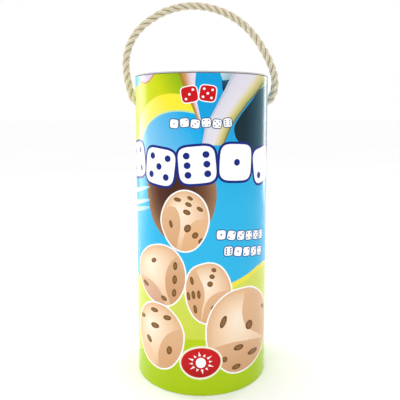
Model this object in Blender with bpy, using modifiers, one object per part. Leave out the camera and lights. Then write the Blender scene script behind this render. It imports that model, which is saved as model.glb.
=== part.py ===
"""Giant yard dice in their carry tube.

Five turned wooden dice stand in a printed cardboard tube with their score pad, rules leaflet and
pencil. A plastic plug lid closes the top, a glued board disc closes the bottom, and a twisted rope
handle goes through two eyelets near the top, with a knot inside the wall at each end.
Metres, +Z up. The origin is the middle of the bottom edge, and the front of the tube faces -Y.
"""

import math

import bmesh
import bpy
from mathutils import Matrix, Vector

# ---------------------------------------------------------------- driving sizes
FIT = 0.0003                 # gap between pieces that touch or are glued
ROUND = 72                   # sides of the tube and of what fits in it

DIE = 0.055                  # across two flat faces
BALL_SHARE = 1.3             # the ball that rounds corners and edges, across, over the die's width
DICE_PLAY = 0.0007           # room between the widest layer of dice and the bore
DICE_GAP = 0.0005            # between dice that stand side by side
PIP_SHARE = 0.333            # diameter of a drilled pip, as a share of the flat face's radius
PIP_DEPTH = 0.0011
LAND_SHARE = 0.061           # from a corner pip to the edge of the flat face, as the same share

TUBE_HEIGHT = 0.289          # the cardboard tube, without the lid's lip
WRAP_WALL = 0.0004           # printed outer paper
CORE_WALL = 0.002            # wound greyboard
LINER_WALL = 0.0005          # inner paper
PAPER_TRIM = 0.0003          # wrap and liner stop this far short of both ends of the core

BASE_RECESS = 0.006          # height of the glued ring under the base disc
BASE_RING_WALL = 0.002
BASE_BOARD = 0.002

LID_LIP = 0.0012             # thickness of the lid's lip and floor
LID_WALL = 0.0012
LID_DEPTH = 0.0135           # how far the lid plugs into the tube

EYELET_DROP = 0.0245         # eyelet centres below the tube's top edge
EYELET_BEARING = 116.0       # degrees round from the front, one to each side
EYELET_BORE = 0.0065         # radius of the eyelet's hole
EYELET_WALL = 0.0006
EYELET_FLANGE = 0.0100       # radius of the outer flange
EYELET_CURL = 0.0082         # radius of the curl that holds the washer
WASHER_RADIUS = 0.0095
METAL = 0.0005               # thickness of the flange, the curl and the washer

ROPE = 0.008                 # rope diameter
KNOT = 0.020                 # knot diameter
ROPE_LEAN = 12.0             # degrees that the standing arch leans to the back

PAD_HEIGHT = 0.140
PAD_SHEETS = 0.0040
PAD_BOARD = 0.0010
PAD_GLUE = 0.0006
LEAFLET_HEIGHT = 0.130
LEAFLET = 0.0010
CONTENTS_GAP = 0.0012        # between the dice, the pad and the leaflet
CORNER_PLAY = 0.0025         # between the corners of pad or leaflet and the bore

PENCIL_RADIUS = 0.0036
PENCIL_LENGTH = 0.172
PENCIL_CONE = 0.018
PENCIL_LEAD = 0.0011
PENCIL_SIDES = 6

# The rope's route in the plane of its arch: sideways from the middle, then away from the line
# through both eyelets. The first and last points lie inside the tube, at the knots.
ROPE_ROUTE = [
    (-0.0502, 0.0), (-0.0560, 0.0), (-0.0605, 0.0), (-0.0646, 0.0007), (-0.0681, 0.0028),
    (-0.0706, 0.0058), (-0.0723, 0.0099), (-0.0740, 0.0151), (-0.0759, 0.0220), (-0.0776, 0.0305),
    (-0.0786, 0.0399), (-0.0784, 0.0493), (-0.0765, 0.0587), (-0.0731, 0.0676), (-0.0681, 0.0760),
    (-0.0619, 0.0832), (-0.0541, 0.0897), (-0.0402, 0.0983), (-0.0229, 0.1040), (-0.0061, 0.1053),
    (0.0107, 0.1027), (0.0273, 0.0965), (0.0417, 0.0869), (0.0539, 0.0743), (0.0632, 0.0602),
    (0.0704, 0.0459), (0.0748, 0.0330), (0.0761, 0.0225), (0.0750, 0.0136), (0.0723, 0.0068),
    (0.0687, 0.0029), (0.0646, 0.0007), (0.0605, 0.0), (0.0560, 0.0), (0.0502, 0.0),
]
ROPE_STEP = 0.0088           # length of one straight side of the rope's solid

# ---------------------------------------------------------------- sizes that follow from them
DIE_BALL = BALL_SHARE * DIE
FLAT_RADIUS = min(math.sqrt(DIE_BALL ** 2 - DIE ** 2) / 2, DIE / 2)   # of a die's flat face
PIP = PIP_SHARE * FLAT_RADIUS
PIP_PITCH = FLAT_RADIUS * (1 - PIP_SHARE / 2 - LAND_SHARE) / math.sqrt(2)
PAIR_REACH = DIE + DICE_GAP / 2                   # outer flat of a die that stands in a pair
BORE = math.hypot(FLAT_RADIUS, PAIR_REACH) + DICE_PLAY
LINER_RADIUS = BORE + LINER_WALL
CORE_BORE = LINER_RADIUS + FIT
CORE_RADIUS = CORE_BORE + CORE_WALL
WRAP_BORE = CORE_RADIUS + FIT
TUBE_RADIUS = WRAP_BORE + WRAP_WALL
PLUG_RADIUS = BORE - FIT                          # lid skirt, base disc and base ring

BASE_TOP = BASE_RECESS + FIT + BASE_BOARD
STAND = BASE_TOP + FIT                            # what is packed in the tube stands here
LAYER = DIE + FIT
LID_TOP = TUBE_HEIGHT + FIT + LID_LIP
LID_BOTTOM = TUBE_HEIGHT - LID_DEPTH

EYELET_Z = TUBE_HEIGHT - EYELET_DROP
BARREL = EYELET_BORE + EYELET_WALL
HOLE = BARREL + FIT + 0.0002                      # punched through the wall's three layers
FLANGE_IN = TUBE_RADIUS + FIT                     # distances from the tube's axis
FLANGE_OUT = FLANGE_IN + METAL
WASHER_OUT = math.sqrt(BORE ** 2 - WASHER_RADIUS ** 2) - FIT
WASHER_IN = WASHER_OUT - METAL
CURL_OUT = WASHER_IN - FIT
CURL_IN = CURL_OUT - METAL

BEARING = math.radians(EYELET_BEARING)
HINGE_Y = -math.cos(BEARING) * (FLANGE_OUT + CURL_IN) / 2
KNOT_X = math.sqrt((CURL_IN - FIT - KNOT / 2) ** 2 - HINGE_Y ** 2)

PAD_X = DIE / 2 + CONTENTS_GAP                    # inner faces of the pad, its board, the leaflet
BOARD_X = PAD_X + PAD_SHEETS + FIT
LEAFLET_X = BOARD_X + PAD_BOARD + CONTENTS_GAP
PAD_WIDTH = 2 * (math.sqrt(BORE ** 2 - (BOARD_X + PAD_BOARD) ** 2) - CORNER_PLAY)
LEAFLET_WIDTH = 2 * (math.sqrt(BORE ** 2 - (LEAFLET_X + LEAFLET) ** 2) - CORNER_PLAY)
PENCIL_X = -(DIE / 2 + CONTENTS_GAP + PENCIL_RADIUS)

for old in list(bpy.data.objects):
    bpy.data.objects.remove(old, do_unlink=True)

PARTS = bpy.data.collections.new("giant_yard_dice")
CUTTERS = bpy.data.collections.new("cutters")
bpy.context.scene.collection.children.link(PARTS)
bpy.context.scene.collection.children.link(CUTTERS)


# ---------------------------------------------------------------- materials
def finish(name, colour, roughness, metallic=0.0):
    material = bpy.data.materials.new(name)
    material.use_nodes = True
    shader = material.node_tree.nodes["Principled BSDF"]
    shader.inputs["Base Color"].default_value = (*colour, 1.0)
    shader.inputs["Roughness"].default_value = roughness
    shader.inputs["Metallic"].default_value = metallic
    return material


PRINT = finish("gloss_print", (0.02, 0.42, 0.83), 0.22)
GREYBOARD = finish("greyboard", (0.36, 0.33, 0.29), 0.9)
LINER_PAPER = finish("liner_paper", (0.80, 0.79, 0.76), 0.7)
LID_PLASTIC = finish("lid_plastic", (0.50, 0.51, 0.54), 0.4)
EYELET_METAL = finish("eyelet_metal", (0.72, 0.72, 0.72), 0.25, 1.0)
TWISTED_ROPE = finish("rope", (0.62, 0.51, 0.32), 0.85)
TURNED_WOOD = finish("die_wood", (0.83, 0.60, 0.36), 0.45)
PAD_PAPER = finish("pad_paper", (0.88, 0.88, 0.86), 0.8)
PAD_BACKING = finish("pad_board", (0.42, 0.38, 0.32), 0.9)
PAD_BINDING = finish("pad_glue", (0.55, 0.06, 0.07), 0.5)
LEAFLET_PAPER = finish("leaflet_paper", (0.86, 0.88, 0.90), 0.5)
PENCIL_WOOD = finish("pencil_wood", (0.90, 0.62, 0.05), 0.35)
GRAPHITE = finish("graphite", (0.05, 0.05, 0.055), 0.4, 0.3)


# ---------------------------------------------------------------- tools
def add(name, mesh, material, place=None):
    """One named sub-part made of a mesh or a curve."""
    if material and not mesh.materials:
        mesh.materials.append(material)
    piece = bpy.data.objects.new(name, mesh)
    PARTS.objects.link(piece)
    piece.matrix_world = place or Matrix()
    return piece


def from_bmesh(name, shape):
    bmesh.ops.recalc_face_normals(shape, faces=shape.faces)
    mesh = bpy.data.meshes.new(name)
    shape.to_mesh(mesh)
    shape.free()
    return mesh


def turned(name, profile, material, sides=ROUND, closed=True, place=None):
    """A profile of (radius, height) points, down its outer side first, turned round Z."""
    mesh = bpy.data.meshes.new(name)
    count = len(profile)
    edges = [(i, i + 1) for i in range(count - 1)] + ([(count - 1, 0)] if closed else [])
    mesh.from_pydata([(radius, 0.0, height) for radius, height in profile], edges, [])
    piece = add(name, mesh, material, place)
    screw = piece.modifiers.new("turn", "SCREW")
    screw.steps = screw.render_steps = sides
    screw.use_merge_vertices = True
    screw.merge_threshold = 0.00001
    screw.use_smooth_shade = False
    return piece


def ring(name, outer, inner, low, high, material, sides=ROUND, place=None):
    profile = [(outer, high), (outer, low), (inner, low), (inner, high)]
    return turned(name, profile, material, sides, place=place)


def block(name, low, high, material):
    """A box between two corners."""
    low, high = Vector(low), Vector(high)
    shape = bmesh.new()
    bmesh.ops.create_cube(shape, size=1.0)
    bmesh.ops.scale(shape, vec=high - low, verts=shape.verts)
    bmesh.ops.translate(shape, vec=(high + low) / 2, verts=shape.verts)
    return add(name, from_bmesh(name, shape), material)


def cutter(name, shape, place=None):
    piece = bpy.data.objects.new(name, from_bmesh(name, shape))
    CUTTERS.objects.link(piece)
    piece.matrix_world = place or Matrix()
    piece.hide_render = True
    piece.display_type = "WIRE"
    return piece


def boolean(piece, tool, operation="DIFFERENCE"):
    step = piece.modifiers.new(tool.name, "BOOLEAN")
    step.operation = operation
    step.object = tool
    step.solver = "EXACT"


def evaluated_mesh(piece):
    """The mesh that the piece's modifiers make."""
    bpy.context.view_layer.update()
    seen = piece.evaluated_get(bpy.context.evaluated_depsgraph_get())
    return bpy.data.meshes.new_from_object(seen)


def outward(side):
    """Turns +Z to the direction of the eyelet on one side, at the eyelets' height."""
    direction = Vector((side * math.sin(BEARING), -math.cos(BEARING), 0.0))
    return Matrix.Translation((0, 0, EYELET_Z)) @ direction.to_track_quat("Z", "X").to_matrix().to_4x4()


SIDES = (("left", -1), ("right", 1))


# ---------------------------------------------------------------- tube wall
def tube_wall():
    """Wound core with the printed wrap outside and the liner inside, punched for the eyelets."""
    low, high = PAPER_TRIM, TUBE_HEIGHT - PAPER_TRIM
    layers = [
        ring("tube_core", CORE_RADIUS, CORE_BORE, 0.0, TUBE_HEIGHT, GREYBOARD),
        ring("printed_wrap", TUBE_RADIUS, WRAP_BORE, low, high, PRINT),
        ring("inner_liner", LINER_RADIUS, BORE, low, high, LINER_PAPER),
    ]
    for label, side in SIDES:
        punch = bmesh.new()
        bmesh.ops.create_cone(
            punch, cap_ends=True, segments=24, radius1=HOLE, radius2=HOLE, depth=TUBE_RADIUS,
        )
        bmesh.ops.translate(punch, vec=(0, 0, TUBE_RADIUS), verts=punch.verts)
        hole = cutter(f"punch_{label}", punch, outward(side))
        for layer in layers:
            boolean(layer, hole)


def base():
    """Greyboard disc on a glued ring that is flush with the tube's bottom edge."""
    ring("base_ring", PLUG_RADIUS, PLUG_RADIUS - BASE_RING_WALL, 0.0, BASE_RECESS, GREYBOARD)
    low = BASE_RECESS + FIT
    profile = [(0.0, BASE_TOP), (PLUG_RADIUS, BASE_TOP), (PLUG_RADIUS, low), (0.0, low)]
    turned("base_disc", profile, GREYBOARD, closed=False)


def lid():
    """Moulded plug: a lip as wide as the tube round a cup that reaches down into the bore."""
    inner = PLUG_RADIUS - LID_WALL
    profile = [
        (0.0, LID_BOTTOM + LID_LIP), (inner, LID_BOTTOM + LID_LIP), (inner, LID_TOP),
        (TUBE_RADIUS, LID_TOP), (TUBE_RADIUS, TUBE_HEIGHT + FIT), (PLUG_RADIUS, TUBE_HEIGHT + FIT),
        (PLUG_RADIUS, LID_BOTTOM), (0.0, LID_BOTTOM),
    ]
    turned("lid_plug", profile, LID_PLASTIC, closed=False)


# ---------------------------------------------------------------- rope handle
def eyelets():
    """Flanged eyelet from outside, and the washer that its curl holds on the inside."""
    profile = [
        (EYELET_FLANGE, FLANGE_OUT), (EYELET_FLANGE, FLANGE_IN), (BARREL, FLANGE_IN),
        (BARREL, CURL_OUT), (EYELET_CURL, CURL_OUT), (EYELET_CURL, CURL_IN),
        (EYELET_BORE, CURL_IN), (EYELET_BORE, FLANGE_OUT),
    ]
    for label, side in SIDES:
        turned(f"eyelet_{label}", profile, EYELET_METAL, 24, place=outward(side))
        ring(
            f"eyelet_washer_{label}", WASHER_RADIUS, BARREL + FIT, WASHER_IN, WASHER_OUT,
            EYELET_METAL, 24, outward(side),
        )


def smooth_route(points, step):
    """Points a step apart along a Catmull-Rom curve through the route's points."""
    fine = []
    padded = [points[0], *points, points[-1]]
    for a, b, c, d in zip(padded, padded[1:], padded[2:], padded[3:]):
        for i in range(16):
            t = i / 16
            fine.append(
                0.5 * (2 * b + (c - a) * t + (2 * a - 5 * b + 4 * c - d) * t ** 2
                       + (3 * b - a - 3 * c + d) * t ** 3)
            )
    fine.append(points[-1])
    length = sum((q - p).length for p, q in zip(fine, fine[1:]))
    count = round(length / step)
    even, walked, wanted = [fine[0]], 0.0, length / count
    for p, q in zip(fine, fine[1:]):
        part = (q - p).length
        while walked + part >= wanted and len(even) < count:
            even.append(p.lerp(q, (wanted - walked) / part))
            wanted += length / count
        walked += part
    return [*even, fine[-1]]


def rope():
    """Arch of rope that turns on the line through both eyelets, and a knot on each end."""
    pivot = bpy.data.objects.new("rope_pivot", None)
    PARTS.objects.link(pivot)
    pivot.location = (0.0, HINGE_Y, EYELET_Z)
    pivot.rotation_euler = (-math.radians(ROPE_LEAN), 0.0, 0.0)
    route = smooth_route([Vector((across, 0.0, away)) for across, away in ROPE_ROUTE], ROPE_STEP)
    curve = bpy.data.curves.new("rope_handle", "CURVE")
    curve.dimensions = "3D"
    curve.bevel_depth = ROPE / 2
    curve.bevel_resolution = 2
    curve.use_fill_caps = True
    spline = curve.splines.new("POLY")
    spline.points.add(len(route) - 1)
    for point, place in zip(spline.points, route):
        point.co = (*place, 1.0)
    add("rope_handle", curve, TWISTED_ROPE).parent = pivot
    for label, side in SIDES:
        lump = bmesh.new()
        bmesh.ops.create_uvsphere(lump, u_segments=16, v_segments=10, radius=KNOT / 2)
        bmesh.ops.rotate(lump, matrix=Matrix.Rotation(math.pi / 2, 3, "Y"), verts=lump.verts)
        knot = add(f"rope_knot_{label}", from_bmesh(f"rope_knot_{label}", lump), TWISTED_ROPE)
        knot.parent = pivot
        knot.location = (side * KNOT_X, 0.0, 0.0)


# ---------------------------------------------------------------- dice
def pip_places(number):
    """Where the pips of one face lie, in steps of the pitch."""
    places = {(0, 0)} if number % 2 else set()
    if number > 1:
        places |= {(-1, -1), (1, 1)}
    if number > 3:
        places |= {(-1, 1), (1, -1)}
    if number == 6:
        places |= {(-1, 0), (1, 0)}
    return sorted(places)


FACE_TURNS = {
    1: Matrix(), 6: Matrix.Rotation(math.pi, 4, "X"),
    2: Matrix.Rotation(math.pi / 2, 4, "X"), 5: Matrix.Rotation(-math.pi / 2, 4, "X"),
    3: Matrix.Rotation(math.pi / 2, 4, "Y"), 4: Matrix.Rotation(-math.pi / 2, 4, "Y"),
}


def die_mesh():
    """A cube turned down to a ball at its corners, with pips drilled in the flat faces."""
    cube = bmesh.new()
    bmesh.ops.create_cube(cube, size=DIE)
    blank = add("die_blank", from_bmesh("die_blank", cube), TURNED_WOOD)
    ball = bmesh.new()
    bmesh.ops.create_uvsphere(ball, u_segments=24, v_segments=14, radius=DIE_BALL / 2)
    boolean(blank, cutter("turning_ball", ball), "INTERSECT")
    drills = bmesh.new()
    for number, turn in FACE_TURNS.items():
        for across, up in pip_places(number):
            at = turn @ Matrix.Translation((across * PIP_PITCH, up * PIP_PITCH, DIE / 2))
            bmesh.ops.create_cone(
                drills, cap_ends=True, segments=8, radius1=PIP / 2, radius2=PIP / 2,
                depth=2 * PIP_DEPTH, matrix=at,
            )
    boolean(blank, cutter("pip_drills", drills))
    mesh = evaluated_mesh(blank)
    mesh.name = "die"
    bpy.data.objects.remove(blank, do_unlink=True)
    return mesh


def dice():
    """Two layers of two, side by side, and the fifth die in the middle on top."""
    mesh = die_mesh()
    beside = (DIE + DICE_GAP) / 2
    stack = [(-beside, 0), (beside, 0), (-beside, 1), (beside, 1), (0.0, 2)]
    quarter = math.pi / 2
    turns = [(0, 0, 0), (quarter, 0, quarter), (0, quarter, 0), (2 * quarter, 0, quarter),
             (quarter, quarter, 0)]
    for number, ((y, layer), turn) in enumerate(zip(stack, turns), start=1):
        die = add(f"die_{number}", mesh, TURNED_WOOD)
        die.location = (0.0, y, STAND + DIE / 2 + layer * LAYER)
        die.rotation_euler = turn


# ---------------------------------------------------------------- what is packed beside the dice
def score_pad():
    """Sheets on a board, glued along the top edge, on end beside the dice."""
    half = PAD_WIDTH / 2
    top = STAND + PAD_HEIGHT
    block("pad_sheets", (PAD_X, -half, STAND), (PAD_X + PAD_SHEETS, half, top), PAD_PAPER)
    outer = BOARD_X + PAD_BOARD
    block("pad_backing", (BOARD_X, -half, STAND), (outer, half, top), PAD_BACKING)
    glue = top + FIT
    block("pad_binding", (PAD_X, -half, glue), (outer, half, glue + PAD_GLUE), PAD_BINDING)


def rules_leaflet():
    half = LEAFLET_WIDTH / 2
    high = (LEAFLET_X + LEAFLET, half, STAND + LEAFLET_HEIGHT)
    block("rules_leaflet", (LEAFLET_X, -half, STAND), high, LEAFLET_PAPER)


def pencil():
    """Six-sided pencil on end, sharpened end up, and its point of lead."""
    top = STAND + PENCIL_LENGTH
    slope = PENCIL_CONE / PENCIL_RADIUS
    wood_end = top - PENCIL_LEAD * slope - FIT
    place = Matrix.Translation((PENCIL_X, 0.0, 0.0))
    profile = [(0.0, wood_end), (PENCIL_LEAD, wood_end), (PENCIL_RADIUS, top - PENCIL_CONE),
               (PENCIL_RADIUS, STAND), (0.0, STAND)]
    turned("pencil_body", profile, PENCIL_WOOD, PENCIL_SIDES, closed=False, place=place)
    profile = [(0.0, top), (PENCIL_LEAD, wood_end + FIT), (0.0, wood_end + FIT)]
    turned("pencil_lead", profile, GRAPHITE, PENCIL_SIDES, closed=False, place=place)


tube_wall()
base()
lid()
eyelets()
rope()
dice()
score_pad()
rules_leaflet()
pencil()
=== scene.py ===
# Giant yard dice in their carry tube: the finished looks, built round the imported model.
import math
import random

import bmesh
import bpy
import numpy as np
from mathutils import Matrix, Vector
from mathutils.geometry import delaunay_2d_cdt


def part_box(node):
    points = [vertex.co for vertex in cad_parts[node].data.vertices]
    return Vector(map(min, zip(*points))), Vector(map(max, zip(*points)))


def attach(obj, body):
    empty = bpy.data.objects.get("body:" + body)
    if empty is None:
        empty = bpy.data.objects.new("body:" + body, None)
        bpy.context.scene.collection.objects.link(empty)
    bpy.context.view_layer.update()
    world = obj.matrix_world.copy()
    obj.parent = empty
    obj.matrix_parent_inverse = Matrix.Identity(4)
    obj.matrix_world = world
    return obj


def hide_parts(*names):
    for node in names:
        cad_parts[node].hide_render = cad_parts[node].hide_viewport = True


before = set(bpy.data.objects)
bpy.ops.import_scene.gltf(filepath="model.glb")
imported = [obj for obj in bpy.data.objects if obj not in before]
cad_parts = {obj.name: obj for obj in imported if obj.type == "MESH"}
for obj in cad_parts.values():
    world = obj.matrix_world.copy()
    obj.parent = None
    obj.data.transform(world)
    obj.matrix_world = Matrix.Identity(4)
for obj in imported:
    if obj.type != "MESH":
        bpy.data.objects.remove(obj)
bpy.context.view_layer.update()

# ---------------------------------------------------------------- tube core
# Spirally wound greyboard, two millimetres thick. Its cut edges are bare: they show at the foot of
# the tube and inside the two punched holes that take the rope's eyelets.
CORE_SIDES = 192
EYELET_BEARING = math.radians(116)      # round from the front, one to each side
eyelet_height = (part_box("eyelet_left")[0][2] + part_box("eyelet_left")[1][2]) * 500      # in millimetres


def placed(name, data):
    """A new object in the scene."""
    piece = bpy.data.objects.new(name, data)
    bpy.context.scene.collection.objects.link(piece)
    return piece


def mesh_piece(name, shape):
    """Makes a piece from a bmesh, with every face looking outwards."""
    bmesh.ops.recalc_face_normals(shape, faces=shape.faces)
    mesh = bpy.data.meshes.new(name)
    shape.to_mesh(mesh)
    shape.free()
    return placed(name, mesh)


def edged(piece, crease):
    """Shades a piece smoothly, but for the edges that bend by more than this many degrees."""
    piece.data.shade_smooth()
    piece.data.set_sharp_from_angle(angle=math.radians(crease))
    return piece


def baked(piece):
    """Works a piece's modifiers into its mesh."""
    bpy.context.view_layer.update()
    seen = piece.evaluated_get(bpy.context.evaluated_depsgraph_get())
    whole = bpy.data.meshes.new_from_object(seen)
    piece.modifiers.clear()
    piece.data = whole
    return piece


def turned(name, profile, sides=CORE_SIDES, crease=35.0):
    """Turns a closed profile of (radius, height) points round the tube's axis."""
    shape = bmesh.new()
    rows = []
    for radius, height in profile:
        if radius < 1e-6:
            rows.append([shape.verts.new((0, 0, height))] * sides)
            continue
        rows.append([
            shape.verts.new((radius * math.cos(a), radius * math.sin(a), height))
            for a in (2 * math.pi * i / sides for i in range(sides))
        ])
    closed = profile[0][0] > 1e-6
    for upper, lower in zip(rows, rows[1:] + ([rows[0]] if closed else [])):
        for i in range(sides):
            j = (i + 1) % sides
            corners = dict.fromkeys((upper[i], upper[j], lower[j], lower[i]))
            if len(corners) > 2:
                shape.faces.new(list(corners))
    return edged(mesh_piece(name, shape), crease)


def rounded(corners, radius, steps=4):
    """Rounds the corners of a profile, all but those on the axis."""
    points = []
    count = len(corners)
    for i, corner in enumerate(corners):
        here = Vector(corner)
        before, after = Vector(corners[i - 1]), Vector(corners[(i + 1) % count])
        if corner[0] < 1e-6:
            points.append(tuple(here))
            continue
        back, on = (before - here), (after - here)
        reach = min(radius, back.length * 0.45, on.length * 0.45)
        start, end = here + back.normalized() * reach, here + on.normalized() * reach
        for k in range(steps + 1):
            t = k / steps
            points.append(tuple((1 - t) ** 2 * start + 2 * t * (1 - t) * here + t ** 2 * end))
    return points


def finish(name, roughness, **sockets):
    """A node material. Sockets that are even all over are set on the shader itself."""
    material = bpy.data.materials.new(name)
    material.use_nodes = True
    shader = material.node_tree.nodes["Principled BSDF"]
    shader.inputs["Roughness"].default_value = roughness
    for socket, value in sockets.items():
        shader.inputs[socket.replace("_", " ")].default_value = value
    return material, material.node_tree, shader


def noise_over(tree, place, scale, detail):
    """Noise over a place, with this many spots to a metre along each axis."""
    spread = tree.nodes.new("ShaderNodeMapping")
    spread.inputs["Scale"].default_value = scale
    noise = tree.nodes.new("ShaderNodeTexNoise")
    noise.inputs["Scale"].default_value = 1.0
    noise.inputs["Detail"].default_value = detail
    tree.links.new(place, spread.inputs["Vector"])
    tree.links.new(spread.outputs["Vector"], noise.inputs["Vector"])
    return noise.outputs["Fac"]


def speckle(tree, size, stretch=(1, 1, 1), detail=3.0):
    """Noise whose spots are about this many metres across, stretched along the axes."""
    place = tree.nodes.new("ShaderNodeTexCoord").outputs["Object"]
    return noise_over(tree, place, [1 / (size * s) for s in stretch], detail)


def shades(tree, amount, *stops):
    """Turns an amount into a colour: stops are (place, colour), from 0 to 1."""
    ramp = tree.nodes.new("ShaderNodeValToRGB")
    elements = ramp.color_ramp.elements
    while len(elements) < len(stops):
        elements.new(0.5)
    for element, (place, colour) in zip(elements, stops):
        element.position = place
        element.color = (*colour, 1.0)
    tree.links.new(amount, ramp.inputs["Fac"])
    return ramp.outputs["Color"]


def colour_by(tree, shader, amount, *stops):
    """Colours the surface by an amount, with stops as in shades."""
    tree.links.new(shades(tree, amount, *stops), shader.inputs["Base Color"])


def multiplied(tree, first, second):
    """Two colours multiplied."""
    node = tree.nodes.new("ShaderNodeMix")
    node.data_type, node.blend_type = "RGBA", "MULTIPLY"
    node.inputs["Factor"].default_value = 1.0
    tree.links.new(first, node.inputs["A"])
    tree.links.new(second, node.inputs["B"])
    return node.outputs["Result"]


def relief(tree, shader, height, depth, under=None):
    """Raises and sinks the surface by an amount, this many metres at most."""
    bump = tree.nodes.new("ShaderNodeBump")
    bump.inputs["Distance"].default_value = depth
    tree.links.new(height, bump.inputs["Height"])
    if under:
        tree.links.new(under, bump.inputs["Normal"])
    tree.links.new(bump.outputs["Normal"], shader.inputs["Normal"])
    return bump.outputs["Normal"]


def gloss_range(tree, shader, amount, low, high):
    """Lets the roughness run between two values."""
    span = tree.nodes.new("ShaderNodeMapRange")
    span.inputs["To Min"].default_value = low
    span.inputs["To Max"].default_value = high
    tree.links.new(amount, span.inputs["Value"])
    tree.links.new(span.outputs["Result"], shader.inputs["Roughness"])


def eyelet_way(side):
    """The direction out through an eyelet from the tube's axis: -1 for the left one, 1 for the right."""
    return Vector((side * math.sin(EYELET_BEARING), -math.cos(EYELET_BEARING), 0.0))


def punch_eyelet_holes(piece, radius):
    """Cuts the two holes for the rope's eyelets through a wall."""
    in_the_wall = 0.062
    for side in (-1, 1):
        way = eyelet_way(side)
        punch = bmesh.new()
        bmesh.ops.create_cone(
            punch, cap_ends=True, segments=48, radius1=radius, radius2=radius, depth=0.02,
            matrix=Matrix.Translation(way * in_the_wall + Vector((0, 0, eyelet_height / 1000)))
            @ way.to_track_quat("Z", "X").to_matrix().to_4x4(),
        )
        tool = mesh_piece("punch", punch)
        cut = piece.modifiers.new("hole", "BOOLEAN")
        cut.object = tool
        cut.operation = "DIFFERENCE"
        baked(piece)
        bpy.data.objects.remove(tool, do_unlink=True)
    piece.data.set_sharp_from_angle(angle=math.radians(35))


def outer_radius(node):
    """Half the width of a round node."""
    return (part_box(node)[1][0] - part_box(node)[0][0]) / 2


def dress(piece, node, body, material):
    """Puts a finished piece in the place of its CAD node."""
    piece.data.materials.clear()
    piece.data.materials.append(material)
    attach(piece, body)
    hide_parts(node)


greyboard, tree, shader = finish("greyboard", 0.92)
fibres = speckle(tree, 0.0012, stretch=(1, 1, 0.25), detail=6)
colour_by(tree, shader, fibres, (0.3, (0.20, 0.17, 0.14)), (0.5, (0.34, 0.30, 0.25)),
          (0.72, (0.47, 0.43, 0.37)))
relief(tree, shader, fibres, 0.00012)

core_outer = outer_radius("tube_core")
core_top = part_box("tube_core")[1][2]
CORE_WALL = 0.002
HOLE = 0.0074
core_profile = [
    (core_outer, core_top), (core_outer, 0.0), (core_outer - CORE_WALL, 0.0),
    (core_outer - CORE_WALL, core_top),
]
tube_core = turned("wound_core", rounded(core_profile, 0.00025, 2))
punch_eyelet_holes(tube_core, HOLE)
dress(tube_core, "tube_core", "tube", greyboard)

# ---------------------------------------------------------------- printed wrap
# Gloss-laminated paper label glued round the core, lapped six millimetres at the back. The print is
# drawn flat, in millimetres round from the front and up from the foot, then bent round the tube.
WRAP_RADIUS = outer_radius("printed_wrap") * 1000
WRAP_LOW, WRAP_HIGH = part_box("printed_wrap")[0][2] * 1000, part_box("printed_wrap")[1][2] * 1000
HALF_ROUND = math.pi * WRAP_RADIUS
LAP = 6.0
LAP_RISE = 0.14
COLUMN = math.radians(3.0)

SKY, DEEP_SKY, PALE_SKY = (52, 183, 233), (0, 150, 214), (150, 208, 238)
SOFT_LIME, LEAF = (214, 224, 96), (172, 203, 0)
YELLOW, PALE_YELLOW = (242, 230, 76), (238, 236, 168)
TAN, LILAC, OLIVE = (205, 146, 98), (214, 204, 224), (150, 166, 112)
BARK, LIGHT_BARK = (66, 38, 30), (160, 122, 90)
WOOD_LIT, WOOD, WOOD_SHADE, WOOD_DEEP = (254, 238, 216), (250, 224, 194), (237, 198, 160), (224, 180, 138)
CHEEK, CHEEK_SHADE, PIP_BROWN, PIP_RIM = (218, 168, 124), (207, 156, 114), (140, 102, 58), (110, 72, 38)
RED, CREAM, NAVY, WHITE = (203, 16, 34), (238, 240, 214), (16, 46, 128), (255, 255, 255)

art = []          # (outline, colour, second colour, from, to, outline it is cut off at), lowest first


def paint(outline, colour, other=None, start=(0, 0), end=(0, 1), within=None):
    """Adds a shape to the print, in one ink or running from one to another between two points."""
    art.append((np.array(outline, float), colour, other or colour, start, end, within))


def paint_round(outline, focus, tones, rings=9):
    """Adds a shape that shades from its focus out to its edge: tones are (how far out, colour)."""
    outline, focus = np.array(outline, float), np.array(focus, float)
    for k in range(rings):
        ring = focus + (outline - focus) * (1 - k / rings) ** 0.7
        art.append((ring, tones, None, focus, outline, None))


def paint_band(left, right, tones, strips=14):
    """Adds a band between two curves, shading from the left one across to the right one."""
    left, right = np.array(left, float), np.array(right, float)
    places, colours = [t for t, _ in tones], np.array([c for _, c in tones], float)
    for k in range(strips):
        near, far = left + (right - left) * k / strips, left + (right - left) * (k + 1) / strips
        ink = [np.interp((k + 0.5) / strips, places, colours[:, c]) for c in range(3)]
        paint([*near, *far[::-1]], ink)


def ellipse(across, up, width, height, tilt=0.0, steps=28, power=2.0):
    """An oval's outline, squarer for a higher power."""
    turn = math.radians(tilt)
    points = []
    for i in range(steps):
        a = 2 * math.pi * i / steps
        c, s = math.cos(a), math.sin(a)
        x = width * math.copysign(abs(c) ** (2 / power), c)
        y = height * math.copysign(abs(s) ** (2 / power), s)
        points.append((across + x * math.cos(turn) - y * math.sin(turn),
                       up + x * math.sin(turn) + y * math.cos(turn)))
    return points


def soft_outline(points, steps=5):
    """A smooth closed curve through a few points."""
    smooth = []
    count = len(points)
    for i in range(count):
        a, b, c, d = (np.array(points[(i + k) % count], float) for k in (-1, 0, 1, 2))
        for k in range(steps):
            t = k / steps
            smooth.append(
                0.5 * (2 * b + (c - a) * t + (2 * a - 5 * b + 4 * c - d) * t ** 2
                       + (3 * b - a - 3 * c + d) * t ** 3)
            )
    return smooth


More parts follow.
